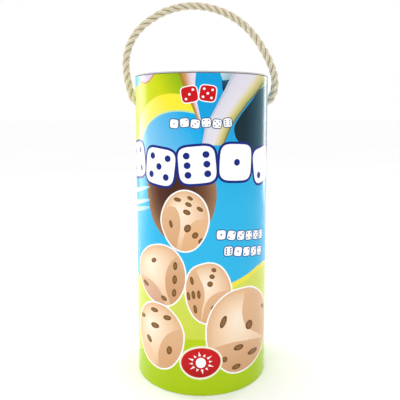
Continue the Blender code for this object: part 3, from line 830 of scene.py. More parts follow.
# ---------------------------------------------------------------- rope handle
# Three-strand laid rope, eight millimetres thick and stiff enough to stand in an arch. Each end goes
# in through an eyelet and is stopped by an overhand knot.
ROPE = 0.008
STRAND = 0.00196
STRAND_OUT = ROPE / 2 - STRAND
LAY = 0.027
YARNS = 7
YARN_TURN = -219.0            # radians a metre, against the strands, so that yarns lie along the rope
ROPE_STEP = 0.0011
LEAD_IN = 1.1                 # straight rope before a knot, in rope thicknesses
TAIL = 0.003                  # rope after a knot
PULLED = 0.77                 # how small a knot is pulled
HINGE = Vector((0.0, 0.02694, 0.2645))
ROPE_LEAN = math.radians(12)
ROUTE = [          # across, and out from the eyelets, in the plane that the arch stands in
    (-0.0502, 0.0), (-0.0560, 0.0), (-0.0605, 0.0), (-0.0646, 0.0007), (-0.0681, 0.0028),
    (-0.0706, 0.0058), (-0.0723, 0.0099), (-0.0740, 0.0151), (-0.0759, 0.0220), (-0.0776, 0.0305),
    (-0.0786, 0.0399), (-0.0784, 0.0493), (-0.0765, 0.0587), (-0.0731, 0.0676), (-0.0681, 0.0760),
    (-0.0619, 0.0832), (-0.0541, 0.0897), (-0.0402, 0.0983), (-0.0229, 0.1040), (-0.0061, 0.1053),
    (0.0107, 0.1027), (0.0273, 0.0965), (0.0417, 0.0869), (0.0539, 0.0743), (0.0632, 0.0602),
    (0.0704, 0.0459), (0.0748, 0.0330), (0.0761, 0.0225), (0.0750, 0.0136), (0.0723, 0.0068),
    (0.0687, 0.0029), (0.0646, 0.0007), (0.0605, 0.0), (0.0560, 0.0), (0.0502, 0.0),
]


def even_steps(points, step):
    """The same line, as points this far apart."""
    points = np.array(points, float)
    along = np.concatenate([[0], np.cumsum(np.linalg.norm(np.diff(points, axis=0), axis=1))])
    places = np.linspace(0, along[-1], max(2, round(along[-1] / step) + 1))
    return np.stack([np.interp(places, along, points[:, k]) for k in range(3)], axis=1)


def smooth_line(points, steps=12):
    """A Catmull-Rom line through the points."""
    points = np.array(points, float)
    points = np.vstack([2 * points[0] - points[1], points, 2 * points[-1] - points[-2]])
    line = []
    for a, b, c, d in zip(points, points[1:], points[2:], points[3:]):
        for t in np.arange(steps) / steps:
            line.append(0.5 * (2 * b + (c - a) * t + (2 * a - 5 * b + 4 * c - d) * t ** 2
                               + (3 * b - a - 3 * c + d) * t ** 3))
    return np.array(line + [points[-2]])


def overhand_knot(thick):
    """A loose overhand knot pulled tight: a chain of points that can't come nearer than the rope is
    thick. It starts at the origin, and the knot and its tail lie towards +X."""
    turn = np.linspace(-math.pi + 0.36, math.pi - 0.36, 80)
    loop = np.stack([np.sin(turn) + 2 * np.sin(2 * turn), np.cos(turn) - 2 * np.cos(2 * turn),
                     -1.15 * np.sin(3 * turn)], axis=1)
    side = math.copysign(1, loop[0, 0])
    lead = np.array([(9, -4.4, 0.6), (5, -4.4, 0.7), (2.4, -4.2, 0.85), (1.5, -3.7, 0.95)])
    start = lead * (side, 1, math.copysign(1, loop[0, 2]))
    end = lead[::-1] * (-side, 1, math.copysign(1, loop[-1, 2]))
    step = thick * 0.3
    chain = even_steps(smooth_line(np.vstack([start, loop, end]), 4) * thick * 0.62, step)
    apart = np.abs(np.subtract.outer(np.arange(len(chain)), np.arange(len(chain)))) >= 5
    odd_even = [np.arange(k, len(chain) - 1, 2) for k in (0, 1)]
    for _ in range(700):
        chain[0, 0] += side * step * 0.11
        chain[-1, 0] -= side * step * 0.11
        for _ in range(10):
            chain[1:-1] += 0.04 * (chain[:-2] + chain[2:] - 2 * chain[1:-1])
            for first in odd_even:
                gap = chain[first + 1] - chain[first]
                long = np.linalg.norm(gap, axis=1)[:, None]
                shift = gap * (long - step) / long * 0.5
                chain[first] += shift
                chain[first + 1] -= shift
            between = chain[:, None] - chain[None]
            far = np.linalg.norm(between, axis=2) + 1e-9
            push = np.where(apart & (far < thick * 0.96), (thick * 0.96 - far) / far * 0.35, 0.0)
            chain += (between * push[..., None]).sum(axis=1)
        stretch = np.linalg.norm(np.diff(chain, axis=0), axis=1).max() / step
        if stretch > 1.16:
            break
    way = chain[0] - chain[-1]
    spin = Vector(way).rotation_difference(Vector((-1, 0, 0))).to_matrix()
    return (chain - chain[0]) @ np.array(spin).T


def knot_part(chain, thick, tail):
    """The knot alone: no long leads, pulled tight, and centred on the line that the rope comes in on."""
    ahead = np.gradient(chain, axis=0)
    turning = np.nonzero(ahead[:, 0] < 0.8 * np.linalg.norm(ahead, axis=1))[0]
    nearest = chain[turning[0]:turning[-1] + 1, 0].min()
    first = np.nonzero(chain[:, 0] > nearest - LEAD_IN * thick)[0][0]
    last = turning[-1] + round(tail / np.linalg.norm(chain[1] - chain[0]))
    part = (chain[first:last + 1] - chain[first]) * PULLED
    middle = (part[:, 1:].min(axis=0) + part[:, 1:].max(axis=0)) / 2
    part[:, 1:] -= middle * np.clip(part[:, :1] / (0.5 * thick), 0, 1)
    return part


knot = knot_part(overhand_knot(ROPE * 0.97), ROPE, TAIL)
arch = [(x, HINGE.y + s * math.sin(ROPE_LEAN), HINGE.z + s * math.cos(ROPE_LEAN)) for x, s in ROUTE]
arch = even_steps(smooth_line(arch), ROPE_STEP)
left_knot = even_steps(smooth_line(knot + arch[0], 4), ROPE_STEP)
right_knot = even_steps(smooth_line(knot * (-1, -1, 1) + arch[-1], 4), ROPE_STEP)
rope_line = np.vstack([left_knot[:0:-1], arch, right_knot[1:]])
first_arch, last_arch = len(left_knot) - 1, len(left_knot) - 1 + len(arch) - 1


def lay_rope(line, sides=28):
    """The three strands' surface points along a line, with each point's place in its yarns."""
    ahead = np.gradient(line, axis=0)
    ahead /= np.linalg.norm(ahead, axis=1)[:, None]
    sideways = np.zeros_like(line)
    sideways[0] = np.cross(ahead[0], (0, 0, 1))
    for i in range(1, len(line)):
        sideways[i] = sideways[i - 1] - ahead[i] * (sideways[i - 1] @ ahead[i])
        sideways[i] /= np.linalg.norm(sideways[i])
    upward = np.cross(ahead, sideways)
    arc = np.concatenate([[0], np.cumsum(np.linalg.norm(np.diff(line, axis=0), axis=1))])
    column = 2 * math.pi * np.arange(sides) / sides
    points, yarns, crowns = [], [], []
    wander = random.Random(4)
    for strand in range(3):
        turn = 2 * math.pi * (arc / LAY + strand / 3)
        ease = 1 + 0.03 * np.sin(arc * wander.uniform(300, 420) + wander.uniform(0, 6))
        out = np.cos(turn)[:, None] * sideways + np.sin(turn)[:, None] * upward
        middle = line + out * (STRAND_OUT * ease)[:, None]
        run = np.gradient(middle, axis=0)
        run /= np.linalg.norm(run, axis=1)[:, None]
        out -= run * np.sum(out * run, axis=1)[:, None]
        out /= np.linalg.norm(out, axis=1)[:, None]
        across = np.cross(run, out)
        angle = column[None] + (YARN_TURN * arc + wander.uniform(0, 6))[:, None]
        thick = STRAND * (1 + 0.065 * np.cos(YARNS * column)[None]
                          + 0.02 * np.sin(arc * 900 + strand)[:, None])
        skin = middle[:, None] + thick[..., None] * (
            np.cos(angle)[..., None] * out[:, None] + np.sin(angle)[..., None] * across[:, None])
        points.append(skin)
        flat = np.broadcast_to(column[None], angle.shape)
        yarns.append(np.stack([STRAND * np.cos(flat), STRAND * np.sin(flat) + strand * 0.01,
                               np.broadcast_to(arc[:, None], angle.shape)], axis=2))
        crowns.append(np.linalg.norm(skin - line[:, None], axis=2) / (ROPE / 2))
    return points, yarns, crowns


def rope_piece(name, laid, first, last, caps):
    """One length of the laid rope, closed at a cut end."""
    verts, faces, yarn, crown = [], [], [], []
    for skin, fibre, height in zip(*laid):
        rings, sides = last - first + 1, skin.shape[1]
        base = len(verts)
        verts += skin[first:last + 1].reshape(-1, 3).tolist()
        yarn += fibre[first:last + 1].reshape(-1, 3).tolist()
        crown += height[first:last + 1].reshape(-1).tolist()
        for i in range(rings - 1):
            for k in range(sides):
                n = (k + 1) % sides
                faces.append((base + i * sides + k, base + i * sides + n,
                              base + (i + 1) * sides + n, base + (i + 1) * sides + k))
        for ring, cap in zip((0, rings - 1), caps):
            if cap:
                faces.append([base + ring * sides + k for k in range(sides)][::1 if ring else -1])
    mesh = bpy.data.meshes.new(name)
    mesh.from_pydata(verts, [], faces)
    yarn_place = mesh.attributes.new("yarn", "FLOAT_VECTOR", "POINT")
    yarn_place.data.foreach_set("vector", np.array(yarn).reshape(-1))
    mesh.attributes.new("crown", "FLOAT", "POINT").data.foreach_set("value", crown)
    mesh.shade_smooth()
    return placed(name, mesh)


rope_fibre, tree, shader = finish("rope_fibre", 0.88, Sheen_Weight=0.25, Sheen_Roughness=0.5)
where = tree.nodes.new("ShaderNodeAttribute")
where.attribute_name = "yarn"
streaks = noise_over(tree, where.outputs["Vector"], (9000, 9000, 700), 4.0)
crown = tree.nodes.new("ShaderNodeAttribute")
crown.attribute_name = "crown"
# painted shade: the strands' colour darkens down into the grooves between them, where shade falls, and is
# painted lighter at their crowns
depth = shades(tree, crown.outputs["Fac"], (0.42, (0.30, 0.22, 0.11)), (0.64, (0.56, 0.46, 0.28)),
               (0.82, (0.88, 0.79, 0.57)), (1.0, (0.97, 0.90, 0.70)))
fibre_tone = shades(tree, streaks, (0.36, (0.80, 0.77, 0.69)), (0.6, (1.0, 1.0, 1.0)))
tree.links.new(multiplied(tree, depth, fibre_tone), shader.inputs["Base Color"])
relief(tree, shader, streaks, 0.0006)

laid = lay_rope(rope_line)
handle = rope_piece("laid_rope", laid, first_arch, last_arch, (False, False))
knots = [rope_piece("overhand_knot_left", laid, 0, first_arch, (True, False)),
         rope_piece("overhand_knot_right", laid, last_arch, len(rope_line) - 1, (False, True))]
dress(handle, "rope_handle", "rope", rope_fibre)
dress(knots[0], "rope_knot_left", "rope", rope_fibre)
dress(knots[1], "rope_knot_right", "rope", rope_fibre)

# ---------------------------------------------------------------- dice
# Five pale wooden cubes turned to a ball at their corners, waxed. The pips are shallow dimples, burnt
# and painted dark brown. Opposite faces add up to seven.
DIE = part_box("die_1")[1][0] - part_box("die_1")[0][0]
BALL = 1.3 * DIE
FLAT = math.sqrt(BALL ** 2 - DIE ** 2) / 2
PIP_SHARE, LAND_SHARE = 0.333, 0.061      # of the flat face's radius: a pip, and the wood outside it
PIP = PIP_SHARE * FLAT
PIP_PITCH = FLAT * (1 - PIP_SHARE / 2 - LAND_SHARE) / math.sqrt(2)
PIP_DEPTH = 0.0011
DIE_GRID = 84
CREASE = 0.0009               # width over which the crease is sanded soft
FACE_TURNS = {
    1: Matrix.Identity(3), 6: Matrix.Rotation(math.pi, 3, "X"),
    2: Matrix.Rotation(math.pi / 2, 3, "X"), 5: Matrix.Rotation(-math.pi / 2, 3, "X"),
    3: Matrix.Rotation(math.pi / 2, 3, "Y"), 4: Matrix.Rotation(-math.pi / 2, 3, "Y"),
}


def wooden_die():
    """A cube cut by a ball, its crease sanded soft, with a dimple for each pip."""
    step = np.tan(np.linspace(-math.pi / 4, math.pi / 4, DIE_GRID + 1))
    u, v = np.meshgrid(step, step, indexing="ij")
    ray = np.stack([u, v, np.ones_like(u)], axis=2).reshape(-1, 3)
    long = np.linalg.norm(ray, axis=1)
    verts, faces, gaps = [], [], []
    corner = np.arange((DIE_GRID + 1) ** 2).reshape(DIE_GRID + 1, DIE_GRID + 1)
    cells = np.stack([corner[:-1, :-1], corner[1:, :-1], corner[1:, 1:], corner[:-1, 1:]], axis=2)
    cells = cells.reshape(-1, 4)
    for number, turn in FACE_TURNS.items():
        cube, ball = long * DIE / 2, np.full(len(long), BALL / 2)
        mix = np.clip(0.5 + 0.5 * (ball - cube) / CREASE, 0, 1)
        reach = ball * (1 - mix) + cube * mix - CREASE * mix * (1 - mix)
        skin = ray / long[:, None] * reach[:, None]
        places = [(x * PIP_PITCH, y * PIP_PITCH) for x, y in pip_pattern(number)]
        off = np.min([np.hypot(skin[:, 0] - x, skin[:, 1] - y) for x, y in places], axis=0)
        dip = np.clip(1 - (off / (PIP / 2)) ** 2, 0, 1)
        skin[:, 2] -= PIP_DEPTH * np.minimum(1, 1.35 * dip) * (0.85 + 0.15 * dip)
        faces += (cells + len(verts)).tolist()
        verts += (skin @ np.array(turn).T).tolist()
        gaps += np.clip((off - PIP / 2) * 1000, -1, 1).tolist()
    mesh = bpy.data.meshes.new("wooden_die")
    mesh.from_pydata(verts, [], faces)
    mesh.attributes.new("pip_gap", "FLOAT", "POINT").data.foreach_set("value", gaps)
    shape = bmesh.new()
    shape.from_mesh(mesh)
    bmesh.ops.remove_doubles(shape, verts=shape.verts, dist=1e-6)
    shape.to_mesh(mesh)
    shape.free()
    mesh.shade_smooth()
    return mesh


die_wood, tree, shader = finish("die_wood", 0.45)
where = tree.nodes.new("ShaderNodeTexCoord")
which = tree.nodes.new("ShaderNodeObjectInfo")
shift = tree.nodes.new("ShaderNodeVectorMath")
shift.operation = "MULTIPLY_ADD"
tree.links.new(which.outputs["Random"], shift.inputs[0])
shift.inputs[1].default_value = (0.21, 0.33, 0.57)
tree.links.new(where.outputs["Object"], shift.inputs[2])
drift = noise_over(tree, shift.outputs[0], (14, 14, 5), 2)
xyz = tree.nodes.new("ShaderNodeSeparateXYZ")
tree.links.new(shift.outputs[0], xyz.inputs["Vector"])
sideways, upward = (calculate(tree, "POWER", calculate(tree, "ADD", xyz.outputs[axis], off_centre), 2.0)
                    for axis, off_centre in (("X", 0.09), ("Y", 0.05)))
from_pith = calculate(tree, "SQRT", calculate(tree, "ADD", sideways, upward))
ring_phase = calculate(tree, "MULTIPLY_ADD", from_pith, 1 / 0.0034, calculate(tree, "MULTIPLY", drift, 5.0))
year_rings = calculate(tree, "POWER", calculate(tree, "FRACT", ring_phase), 2.5)
fleck = noise_over(tree, shift.outputs[0], (1500, 1500, 90), 3)
wood_mix = calculate(tree, "MULTIPLY_ADD", year_rings, 0.5, calculate(tree, "MULTIPLY", fleck, 0.55))
wood = shades(tree, wood_mix, (0.12, (0.86, 0.66, 0.43)), (0.45, (0.78, 0.56, 0.34)),
              (0.85, (0.62, 0.40, 0.22)))
gap = tree.nodes.new("ShaderNodeAttribute")
gap.attribute_name = "pip_gap"
painted = calculate(tree, "LESS_THAN", gap.outputs["Fac"], 0.02)
singed = calculate(tree, "SUBTRACT", 1.0, calculate(tree, "DIVIDE", gap.outputs["Fac"], 0.55), clamp=True)
scorch = tree.nodes.new("ShaderNodeMix")
scorch.data_type = "RGBA"
tree.links.new(calculate(tree, "MULTIPLY", singed, 0.35), scorch.inputs["Factor"])
tree.links.new(wood, scorch.inputs["A"])
scorch.inputs["B"].default_value = (0.20, 0.09, 0.035, 1)
pips = tree.nodes.new("ShaderNodeMix")
pips.data_type = "RGBA"
tree.links.new(painted, pips.inputs["Factor"])
tree.links.new(scorch.outputs["Result"], pips.inputs["A"])
stain = shades(tree, fleck, (0.3, (0.075, 0.035, 0.016)), (0.7, (0.12, 0.06, 0.028)))
tree.links.new(stain, pips.inputs["B"])
tree.links.new(pips.outputs["Result"], shader.inputs["Base Color"])
gloss_range(tree, shader, fleck, 0.38, 0.55)
relief(tree, shader, wood_mix, 0.00009)

die_shape = wooden_die()
quarter = math.pi / 2
DIE_TURNS = [(0, 0, 0), (quarter, 0, quarter), (0, quarter, 0), (2 * quarter, 0, quarter),
             (quarter, quarter, 0)]
for number, turn in enumerate(DIE_TURNS, start=1):
    low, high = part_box(f"die_{number}")
    die = placed(f"wooden_die_{number}", die_shape)
    die.location = [(a + b) / 2 for a, b in zip(low, high)]
    die.rotation_euler = turn
    dress(die, f"die_{number}", f"die_{number}_body", die_wood)

# ---------------------------------------------------------------- score pad
# Eighteen printed sheets on a greyboard back, their top edges held in red padding glue. The print is
# a score grid: rows for the throws, and a column for each player.
GRID_BLUE, PALE_BLUE, GRID_NAVY = (120, 168, 208), (222, 238, 248), (34, 62, 120)
pad_low, pad_high = [np.array(c) * 1000 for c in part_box("pad_sheets")]
pad_width, pad_tall = pad_high[1] - pad_low[1], pad_high[2] - pad_low[2]
art = []
box = lambda x, y, w, h: [(x, y), (x + w, y), (x + w, y + h), (x, y + h)]
paint(box(0, 0, pad_width, pad_tall), (250, 250, 248))
HEAD, FOOT, EDGE, ROWS, PLAYERS = 20.0, 5.0, 5.0, 15, 5
LABEL_COLUMN = 24.0
row_tall = (pad_tall - HEAD - FOOT) / ROWS
player_wide = (pad_width - 2 * EDGE - LABEL_COLUMN) / PLAYERS
paint(box(EDGE, pad_tall - HEAD + 2, pad_width - 2 * EDGE, HEAD - 6), (52, 160, 216), (20, 130, 200),
      (0, pad_tall), (0, pad_tall - HEAD))
for k in range(5):
    paint_face(pad_width / 2 + (k - 2) * 11.5, pad_tall - HEAD / 2 - 1, 4.2, k + 1, (-6, 5, -3, 7, -5)[k],
               GRID_NAVY, 0.5, 0.75)
for row in range(ROWS):
    up = FOOT + row_tall * (ROWS - 1 - row)
    if row % 2 == 0 or row == 6:
        tone = (196, 222, 150) if row == 6 else PALE_BLUE
        paint(box(EDGE, up, pad_width - 2 * EDGE, row_tall), tone)
    count = row + 1 if row < 6 else (0, 2, 4, 3, 4, 5, 4, 5, 5)[row - 6]
    for k in range(1 if row < 6 else count):
        if row < 6:
            paint_face(EDGE + 5.5, up + row_tall / 2, 2.6, count, 0, GRID_NAVY, 0.35, 0.45)
        else:
            paint_face(EDGE + 3.2 + 4.4 * k, up + row_tall / 2, 1.6, (row + k) % 6 + 1, 0,
                       GRID_NAVY, 0.3, 0.26)
for row in range(ROWS + 1):
    paint(box(EDGE, FOOT + row_tall * row - 0.15, pad_width - 2 * EDGE, 0.3), GRID_BLUE)
for column in range(PLAYERS + 1):
    paint(box(EDGE + LABEL_COLUMN + player_wide * column - 0.15, FOOT, 0.3, row_tall * ROWS), GRID_BLUE)
paint(box(EDGE - 0.15, FOOT, 0.3, row_tall * ROWS), GRID_BLUE)


def printed_sheet(name, layers, wide, tall, bend, printed, thick, cuts=()):
    """A printed sheet. Bend turns the flat points, in millimetres, into places in metres."""
    flat, faces, colours = cut_print(layers, ((0.0, 0.0), (wide, tall)), cuts)
    return paper_sheet(name, bend(flat), faces, colours, thick, 0, printed, bare_paper)


def joined(pieces):
    """Several pieces made into the first of them."""
    with bpy.context.temp_override(active_object=pieces[0], object=pieces[0], selected_objects=pieces,
                                   selected_editable_objects=pieces):
        bpy.ops.object.join()
    return pieces[0]


printed_paper, tree, shader = finish("printed_paper", 0.7)
inks = tree.nodes.new("ShaderNodeVertexColor")
inks.layer_name = "ink"
pulp = speckle(tree, 0.0007, detail=5)
uneven = shades(tree, pulp, (0.3, (0.90, 0.90, 0.89)), (0.7, (1, 1, 1)))
tree.links.new(multiplied(tree, inks.outputs["Color"], uneven), shader.inputs["Base Color"])
relief(tree, shader, pulp, 0.00004)

SHEETS = 18
SHEET_SHARE = 0.82            # of the room that each sheet has; the rest is air
sheet_thick = (pad_high[0] - pad_low[0]) / SHEETS
shuffle = random.Random(7)
sheets = []
for k in range(SHEETS):
    slip, drop = (0.0, 0.0) if k == 0 else (shuffle.uniform(-0.16, 0.16), shuffle.uniform(0.0, 0.10))
    place = lambda p: np.stack([np.full(len(p), (pad_low[0] + k * sheet_thick) / 1000),
                                (pad_high[1] - 0.2 - p[:, 0] * 0.996 + slip) / 1000,
                                (pad_low[2] + p[:, 1] * 0.999 + drop) / 1000], axis=1)
    layers = art if k == 0 else art[:1]
    sheets.append(printed_sheet(f"sheet_{k}", layers, pad_width, pad_tall, place, printed_paper,
                                -sheet_thick * SHEET_SHARE / 1000))
pad = joined(sheets)
pad.name = "score_sheets"
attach(pad, "score_pad")
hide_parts("pad_sheets")


def soft_block(name, node, radius):
    """A block in the node's place with its edges rounded."""
    low, high = (Vector(c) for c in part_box(node))
    shape = bmesh.new()
    bmesh.ops.create_cube(shape, size=1.0)
    for vert in shape.verts:
        vert.co = Vector([(a + b) / 2 + c * (b - a) for a, b, c in zip(low, high, vert.co)])
    bmesh.ops.bevel(shape, geom=shape.edges[:], offset=radius, segments=3, profile=0.5, affect="EDGES")
    return edged(mesh_piece(name, shape), 40)


pad_board, tree, shader = finish("pad_board", 0.9)
fibres = speckle(tree, 0.0010, detail=6)
colour_by(tree, shader, fibres, (0.3, (0.24, 0.215, 0.18)), (0.55, (0.36, 0.325, 0.275)),
          (0.75, (0.46, 0.42, 0.36)))
relief(tree, shader, fibres, 0.00008)
backing = soft_block("backing_board", "pad_backing", 0.00015)
dress(backing, "pad_backing", "score_pad", pad_board)

pad_glue, tree, shader = finish("pad_glue", 0.38)
brushed = speckle(tree, 0.0016, stretch=(1, 6, 1), detail=4)
colour_by(tree, shader, brushed, (0.3, (0.38, 0.03, 0.035)), (0.7, (0.55, 0.06, 0.06)))
relief(tree, shader, brushed, 0.0002)
low, high = (np.array(c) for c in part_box("pad_binding"))
glue = bmesh.new()
runs, across_steps = 90, 8
lumps = random.Random(12)
grid = []
for i in range(runs + 1):
    y = low[1] + (high[1] - low[1]) * i / runs
    swell = 0.00010 * lumps.uniform(0, 1)
    grid.append([])
    for k in range(across_steps + 1):
        x = low[0] + (high[0] - low[0]) * k / across_steps
        dome = math.sin(math.pi * k / across_steps) ** 0.35
        z = low[2] + 0.00010 + (high[2] - low[2] - 0.00022) * dome + swell
        grid[-1].append(glue.verts.new((x, y, z)))
under = [[glue.verts.new((row[k].co.x, row[k].co.y, low[2])) for k in (0, across_steps)] for row in grid]
for i in range(runs):
    for k in range(across_steps):
        glue.faces.new((grid[i][k], grid[i][k + 1], grid[i + 1][k + 1], grid[i + 1][k]))
    glue.faces.new((grid[i][0], grid[i + 1][0], under[i + 1][0], under[i][0]))
    glue.faces.new((grid[i][-1], under[i][1], under[i + 1][1], grid[i + 1][-1]))
    glue.faces.new((under[i][0], under[i + 1][0], under[i + 1][1], under[i][1]))
for i in (0, runs):
    glue.faces.new([*grid[i], under[i][1], under[i][0]])
binding = edged(mesh_piece("padding_glue", glue), 50)
dress(binding, "pad_binding", "score_pad", pad_glue)

# ---------------------------------------------------------------- rules leaflet
# One sheet of coated paper folded twice into three panels, with pictures of throws and no words.
leaf_low, leaf_high = [np.array(c) * 1000 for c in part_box("rules_leaflet")]
leaf_tall = leaf_high[2] - leaf_low[2]
LEAF_PAPER = 0.22
FOLD = (leaf_high[0] - leaf_low[0] - LEAF_PAPER) / 4
flat_part = leaf_high[1] - leaf_low[1] - 2 * (FOLD + LEAF_PAPER / 2)
fold_turn = math.pi * FOLD
leaf_wide = 3 * flat_part + 2 * fold_turn
art = []
paint(box(0, 0, leaf_wide, leaf_tall), (248, 250, 250))
for panel in range(3):
    left = panel * (flat_part + fold_turn)
    paint(box(left + 4, leaf_tall - 26, flat_part - 8, 20), (52, 180, 230), (10, 140, 205), (0, leaf_tall),
          (0, leaf_tall - 26))
    for k in range(5):
        paint_face(left + flat_part / 2 + (k - 2) * 14, leaf_tall - 16, 5.0, (panel + k) % 6 + 1,
                   6 - 4 * (k % 3), NAVY, 0.6, 0.9)
    right = left + flat_part - 5
    paint(soft_outline([(left + 5, 58), (left + 22, 66), (left + 46, 63), (left + 68, 68), (right, 60),
                        (right, 36), (left + 5, 36)]), (190, 208, 60), (150, 190, 20), (0, 66), (0, 36))
    for k in range(9):
        t = (k + 0.5) / 9
        paint(ellipse(left + 14 + 50 * t, 62 + 110 * t * (1 - t), 0.8, 0.8, 0, 10), (90, 130, 170))
    paint_face(left + 68, 60, 5.2, panel + 3, 12, PIP_BROWN, 0.5, 0.9, face=(250, 220, 178))
    for row in range(3):
        for k in range(5):
            paint_face(left + 12 + 9.4 * k, 27 - 9.5 * row, 3.3,
                       (row + k * (panel + 1)) % 6 + 1, 0, NAVY, 0.4, 0.58)
        paint(box(left + 62, 24.5 - 9.5 * row, flat_part - 72, 5), (230, 238, 242))


def folded(points):
    """Takes points along the flat sheet round its two folds."""
    along, up = points[:, 0], points[:, 1]
    first = leaf_low[0] + LEAF_PAPER / 2
    near, far = leaf_low[1] + FOLD + LEAF_PAPER / 2, leaf_high[1] - FOLD - LEAF_PAPER / 2
    x, y = np.zeros(len(points)), np.zeros(len(points))
    for panel in range(3):
        start = panel * (flat_part + fold_turn)
        on = (along >= start - 1e-6) & (along <= start + flat_part + 1e-6)
        x[on] = first + 2 * FOLD * panel
        y[on] = near + (along[on] - start) if panel % 2 == 0 else far - (along[on] - start)
        turn = (along > start + flat_part) & (along < start + flat_part + fold_turn)
        angle = (along[turn] - start - flat_part) / FOLD
        x[turn] = first + 2 * FOLD * panel + FOLD * (1 - np.cos(angle))
        y[turn] = (far + FOLD * np.sin(angle)) if panel % 2 == 0 else (near - FOLD * np.sin(angle))
    return np.stack([x, y, leaf_low[2] + up], axis=1) / 1000


fold_cuts = []
for panel in range(2):
    for k in range(9):
        at = panel * (flat_part + fold_turn) + flat_part + fold_turn * k / 8
        fold_cuts.append(((at, 0.0), (at, leaf_tall)))
coated_paper = printed_paper.copy()
coated_paper.name = "coated_paper"
coated_paper.node_tree.nodes["Principled BSDF"].inputs["Roughness"].default_value = 0.38
leaflet = printed_sheet("folded_leaflet", art, leaf_wide, leaf_tall, folded, coated_paper,
                        LEAF_PAPER / 1000, fold_cuts)
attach(leaflet, "rules")
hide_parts("rules_leaflet")

# ---------------------------------------------------------------- pencil
# Six-sided, yellow lacquer with a dipped blue end, sharpened: the cutter leaves a scalloped edge
# where the cone meets the flats.
pencil_low, pencil_high = (Vector(c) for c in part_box("pencil_body"))
lead_low, lead_high = (Vector(c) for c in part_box("pencil_lead"))
PENCIL = (pencil_high.x - pencil_low.x) / 2
APOTHEM = PENCIL * math.cos(math.pi / 6)
LEAD = 0.0011
CONE = 0.018
pencil_middle = (pencil_low + pencil_high) / 2
COLUMNS = 96
pencil = bmesh.new()
slope = PENCIL / CONE
rings = []
turns = [2 * math.pi * k / COLUMNS for k in range(COLUMNS)]
side_reach = [min(APOTHEM / math.cos((a + math.pi / 6) % (math.pi / 3) - math.pi / 6), PENCIL * 0.975)
              for a in turns]
shoulder = [lead_high.z - r / slope for r in side_reach]


def pencil_ring(places):
    """One ring of corners, a (radius, height) for each."""
    rings.append([pencil.verts.new((pencil_middle.x + r * math.cos(a), pencil_middle.y + r * math.sin(a), z))
                  for a, (r, z) in zip(turns, places)])


foot = pencil_low.z
pencil_ring([(LEAD, foot)] * COLUMNS)
pencil_ring([(r - 0.0003, foot) for r in side_reach])
for up in (0.0003, 0.0120, 0.0121, 0.0145, 0.0146, 0.08, 0.14):
    pencil_ring([(r, foot + up) for r in side_reach])
pencil_ring([(r, z - 0.00015) for r, z in zip(side_reach, shoulder)])
pencil_ring([(r - 0.00012, z) for r, z in zip(side_reach, shoulder)])
for part in (0.33, 0.66, 1.0):
    pencil_ring([(r + (LEAD * 1.02 - r) * part - 0.00012 * (1 - part),
                  z + (pencil_high.z - z) * part) for r, z in zip(side_reach, shoulder)])
YELLOW_COAT, CEDAR, BLUE_DIP, PALE_BAND, GRAPHITE = range(5)
bands = [CEDAR] + [BLUE_DIP] * 3 + [PALE_BAND] * 2 + [YELLOW_COAT] * 3 + [CEDAR] * 4
for band, lower, upper in zip(bands, rings, rings[1:]):
    for k in range(COLUMNS):
        face = pencil.faces.new((lower[k], lower[(k + 1) % COLUMNS], upper[(k + 1) % COLUMNS], upper[k]))
        face.material_index = band
pencil.faces.new(rings[0][::-1]).material_index = GRAPHITE
pencil.faces.new(rings[-1]).material_index = GRAPHITE
pencil_piece = edged(mesh_piece("hexagonal_pencil", pencil), 28)


def lacquer(name, colour, deeper):
    """A coat of lacquer, a little uneven along the pencil."""
    material, tree, shader = finish(name, 0.2, Coat_Weight=0.5)
    colour_by(tree, shader, speckle(tree, 0.004, stretch=(1, 1, 5), detail=4), (0.3, deeper), (0.7, colour))
    relief(tree, shader, speckle(tree, 0.0016, stretch=(1, 1, 6), detail=3), 0.00004)
    return material


pencil_yellow = lacquer("pencil_yellow", (0.92, 0.60, 0.03), (0.84, 0.50, 0.02))
pencil_blue = lacquer("pencil_blue", (0.02, 0.09, 0.35), (0.015, 0.06, 0.26))
pencil_band = lacquer("pencil_band", (0.85, 0.85, 0.80), (0.74, 0.74, 0.70))
cedar, tree, shader = finish("cedar", 0.75)
cedar_grain = speckle(tree, 0.0005, stretch=(1, 1, 14), detail=5)
colour_by(tree, shader, cedar_grain, (0.3, (0.50, 0.28, 0.15)), (0.7, (0.74, 0.50, 0.32)))
relief(tree, shader, cedar_grain, 0.00008)
graphite, tree, shader = finish("graphite", 0.36, Metallic=0.35)
colour_by(tree, shader, speckle(tree, 0.0004, detail=5), (0.3, (0.035, 0.035, 0.04)),
          (0.7, (0.09, 0.09, 0.10)))
relief(tree, shader, speckle(tree, 0.0003, stretch=(1, 1, 5)), 0.00003)
dress(pencil_piece, "pencil_body", "pencil", pencil_yellow)
for material in (cedar, pencil_blue, pencil_band, graphite):
    pencil_piece.data.materials.append(material)

halfway = lead_low.z + 0.55 * (lead_high.z - lead_low.z)
tip = turned("pencil_point", [(0.0, lead_low.z), (LEAD, lead_low.z), (LEAD * 0.5, halfway),
                              (0.00022, lead_high.z - 0.00035), (0.0, lead_high.z - 0.0001)], 32, 60)
tip.data.transform(Matrix.Translation((pencil_middle.x, pencil_middle.y, 0)))
dress(tip, "pencil_lead", "pencil", graphite)

# ---------------------------------------------------------------- studio
# A pale floor, even soft light from all round, and tall soft boxes at both sides that whiten the
# gloss near the tube's edges.
CAMERA_AWAY = 0.4908
EYE_HEIGHT = 0.2535
LOOK_DOWN = math.radians(5.9)
FRONT_LIGHT = 0.75            # strength of the level light at the front, against 1 at the back
TOP_LIGHT = 1.35


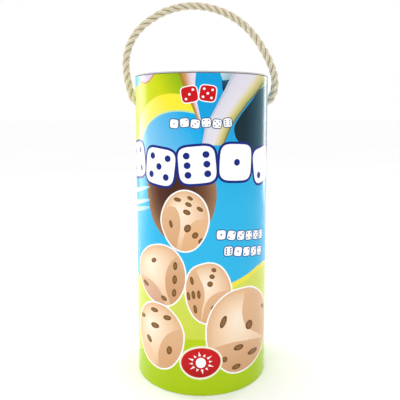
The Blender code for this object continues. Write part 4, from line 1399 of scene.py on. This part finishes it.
def soft_box(name, place, aim, width, height, power):
    """A rectangular lamp that faces a point."""
    light = bpy.data.lights.new(name, "AREA")
    light.shape = "RECTANGLE"
    light.size, light.size_y = width, height
    light.energy = power
    lamp = placed(name, light)
    lamp.location = place
    lamp.rotation_euler = (Vector(aim) - Vector(place)).to_track_quat("-Z", "Y").to_euler()


bpy.ops.mesh.primitive_plane_add(size=40.0)
floor = bpy.context.object
floor.name = "floor"
floor_white, tree, shader = finish("floor_white", 0.9)
colour_by(tree, shader, speckle(tree, 0.4, detail=2), (0.3, (0.97, 0.97, 0.97)), (0.7, (0.99, 0.99, 0.99)))
floor.data.materials.append(floor_white)

world = bpy.data.worlds.new("studio")
bpy.context.scene.world = world
world.use_nodes = True
tree = world.node_tree
background = tree.nodes["Background"]
heading = tree.nodes.new("ShaderNodeTexCoord")
compass = tree.nodes.new("ShaderNodeSeparateXYZ")
tree.links.new(heading.outputs["Generated"], compass.inputs["Vector"])
to_back = calculate(tree, "MULTIPLY_ADD", compass.outputs["Y"], 1.5, -0.35, clamp=True)
level_light = calculate(tree, "MULTIPLY_ADD", to_back, 1.0 - FRONT_LIGHT, FRONT_LIGHT)
overhead = calculate(tree, "MULTIPLY", compass.outputs["Z"], TOP_LIGHT)
tree.links.new(calculate(tree, "MAXIMUM", level_light, overhead), background.inputs["Strength"])
background.inputs["Color"].default_value = (1, 1, 1, 1)

soft_box("key", (-0.7, -1.5, 1.2), (0, 0, 0.2), 1.0, 1.0, 4)
soft_box("side_left", (-0.95, 0.55, 0.25), (0, 0, 0.15), 0.55, 1.3, 9)
soft_box("side_right", (0.78, 0.9, 0.25), (0, 0, 0.15), 0.25, 1.3, 5)

camera = placed("camera", bpy.data.cameras.new("camera"))
camera.location = (0.0, -CAMERA_AWAY, EYE_HEIGHT)
camera.rotation_euler = (math.pi / 2 - LOOK_DOWN, 0.0, 0.0)
camera.data.lens = 44.77
camera.data.sensor_width = 36.0
camera.data.shift_x, camera.data.shift_y = -0.0038, -0.085
camera.data.clip_start = 0.01
bpy.context.scene.camera = camera
bpy.context.scene.view_settings.view_transform = "Standard"
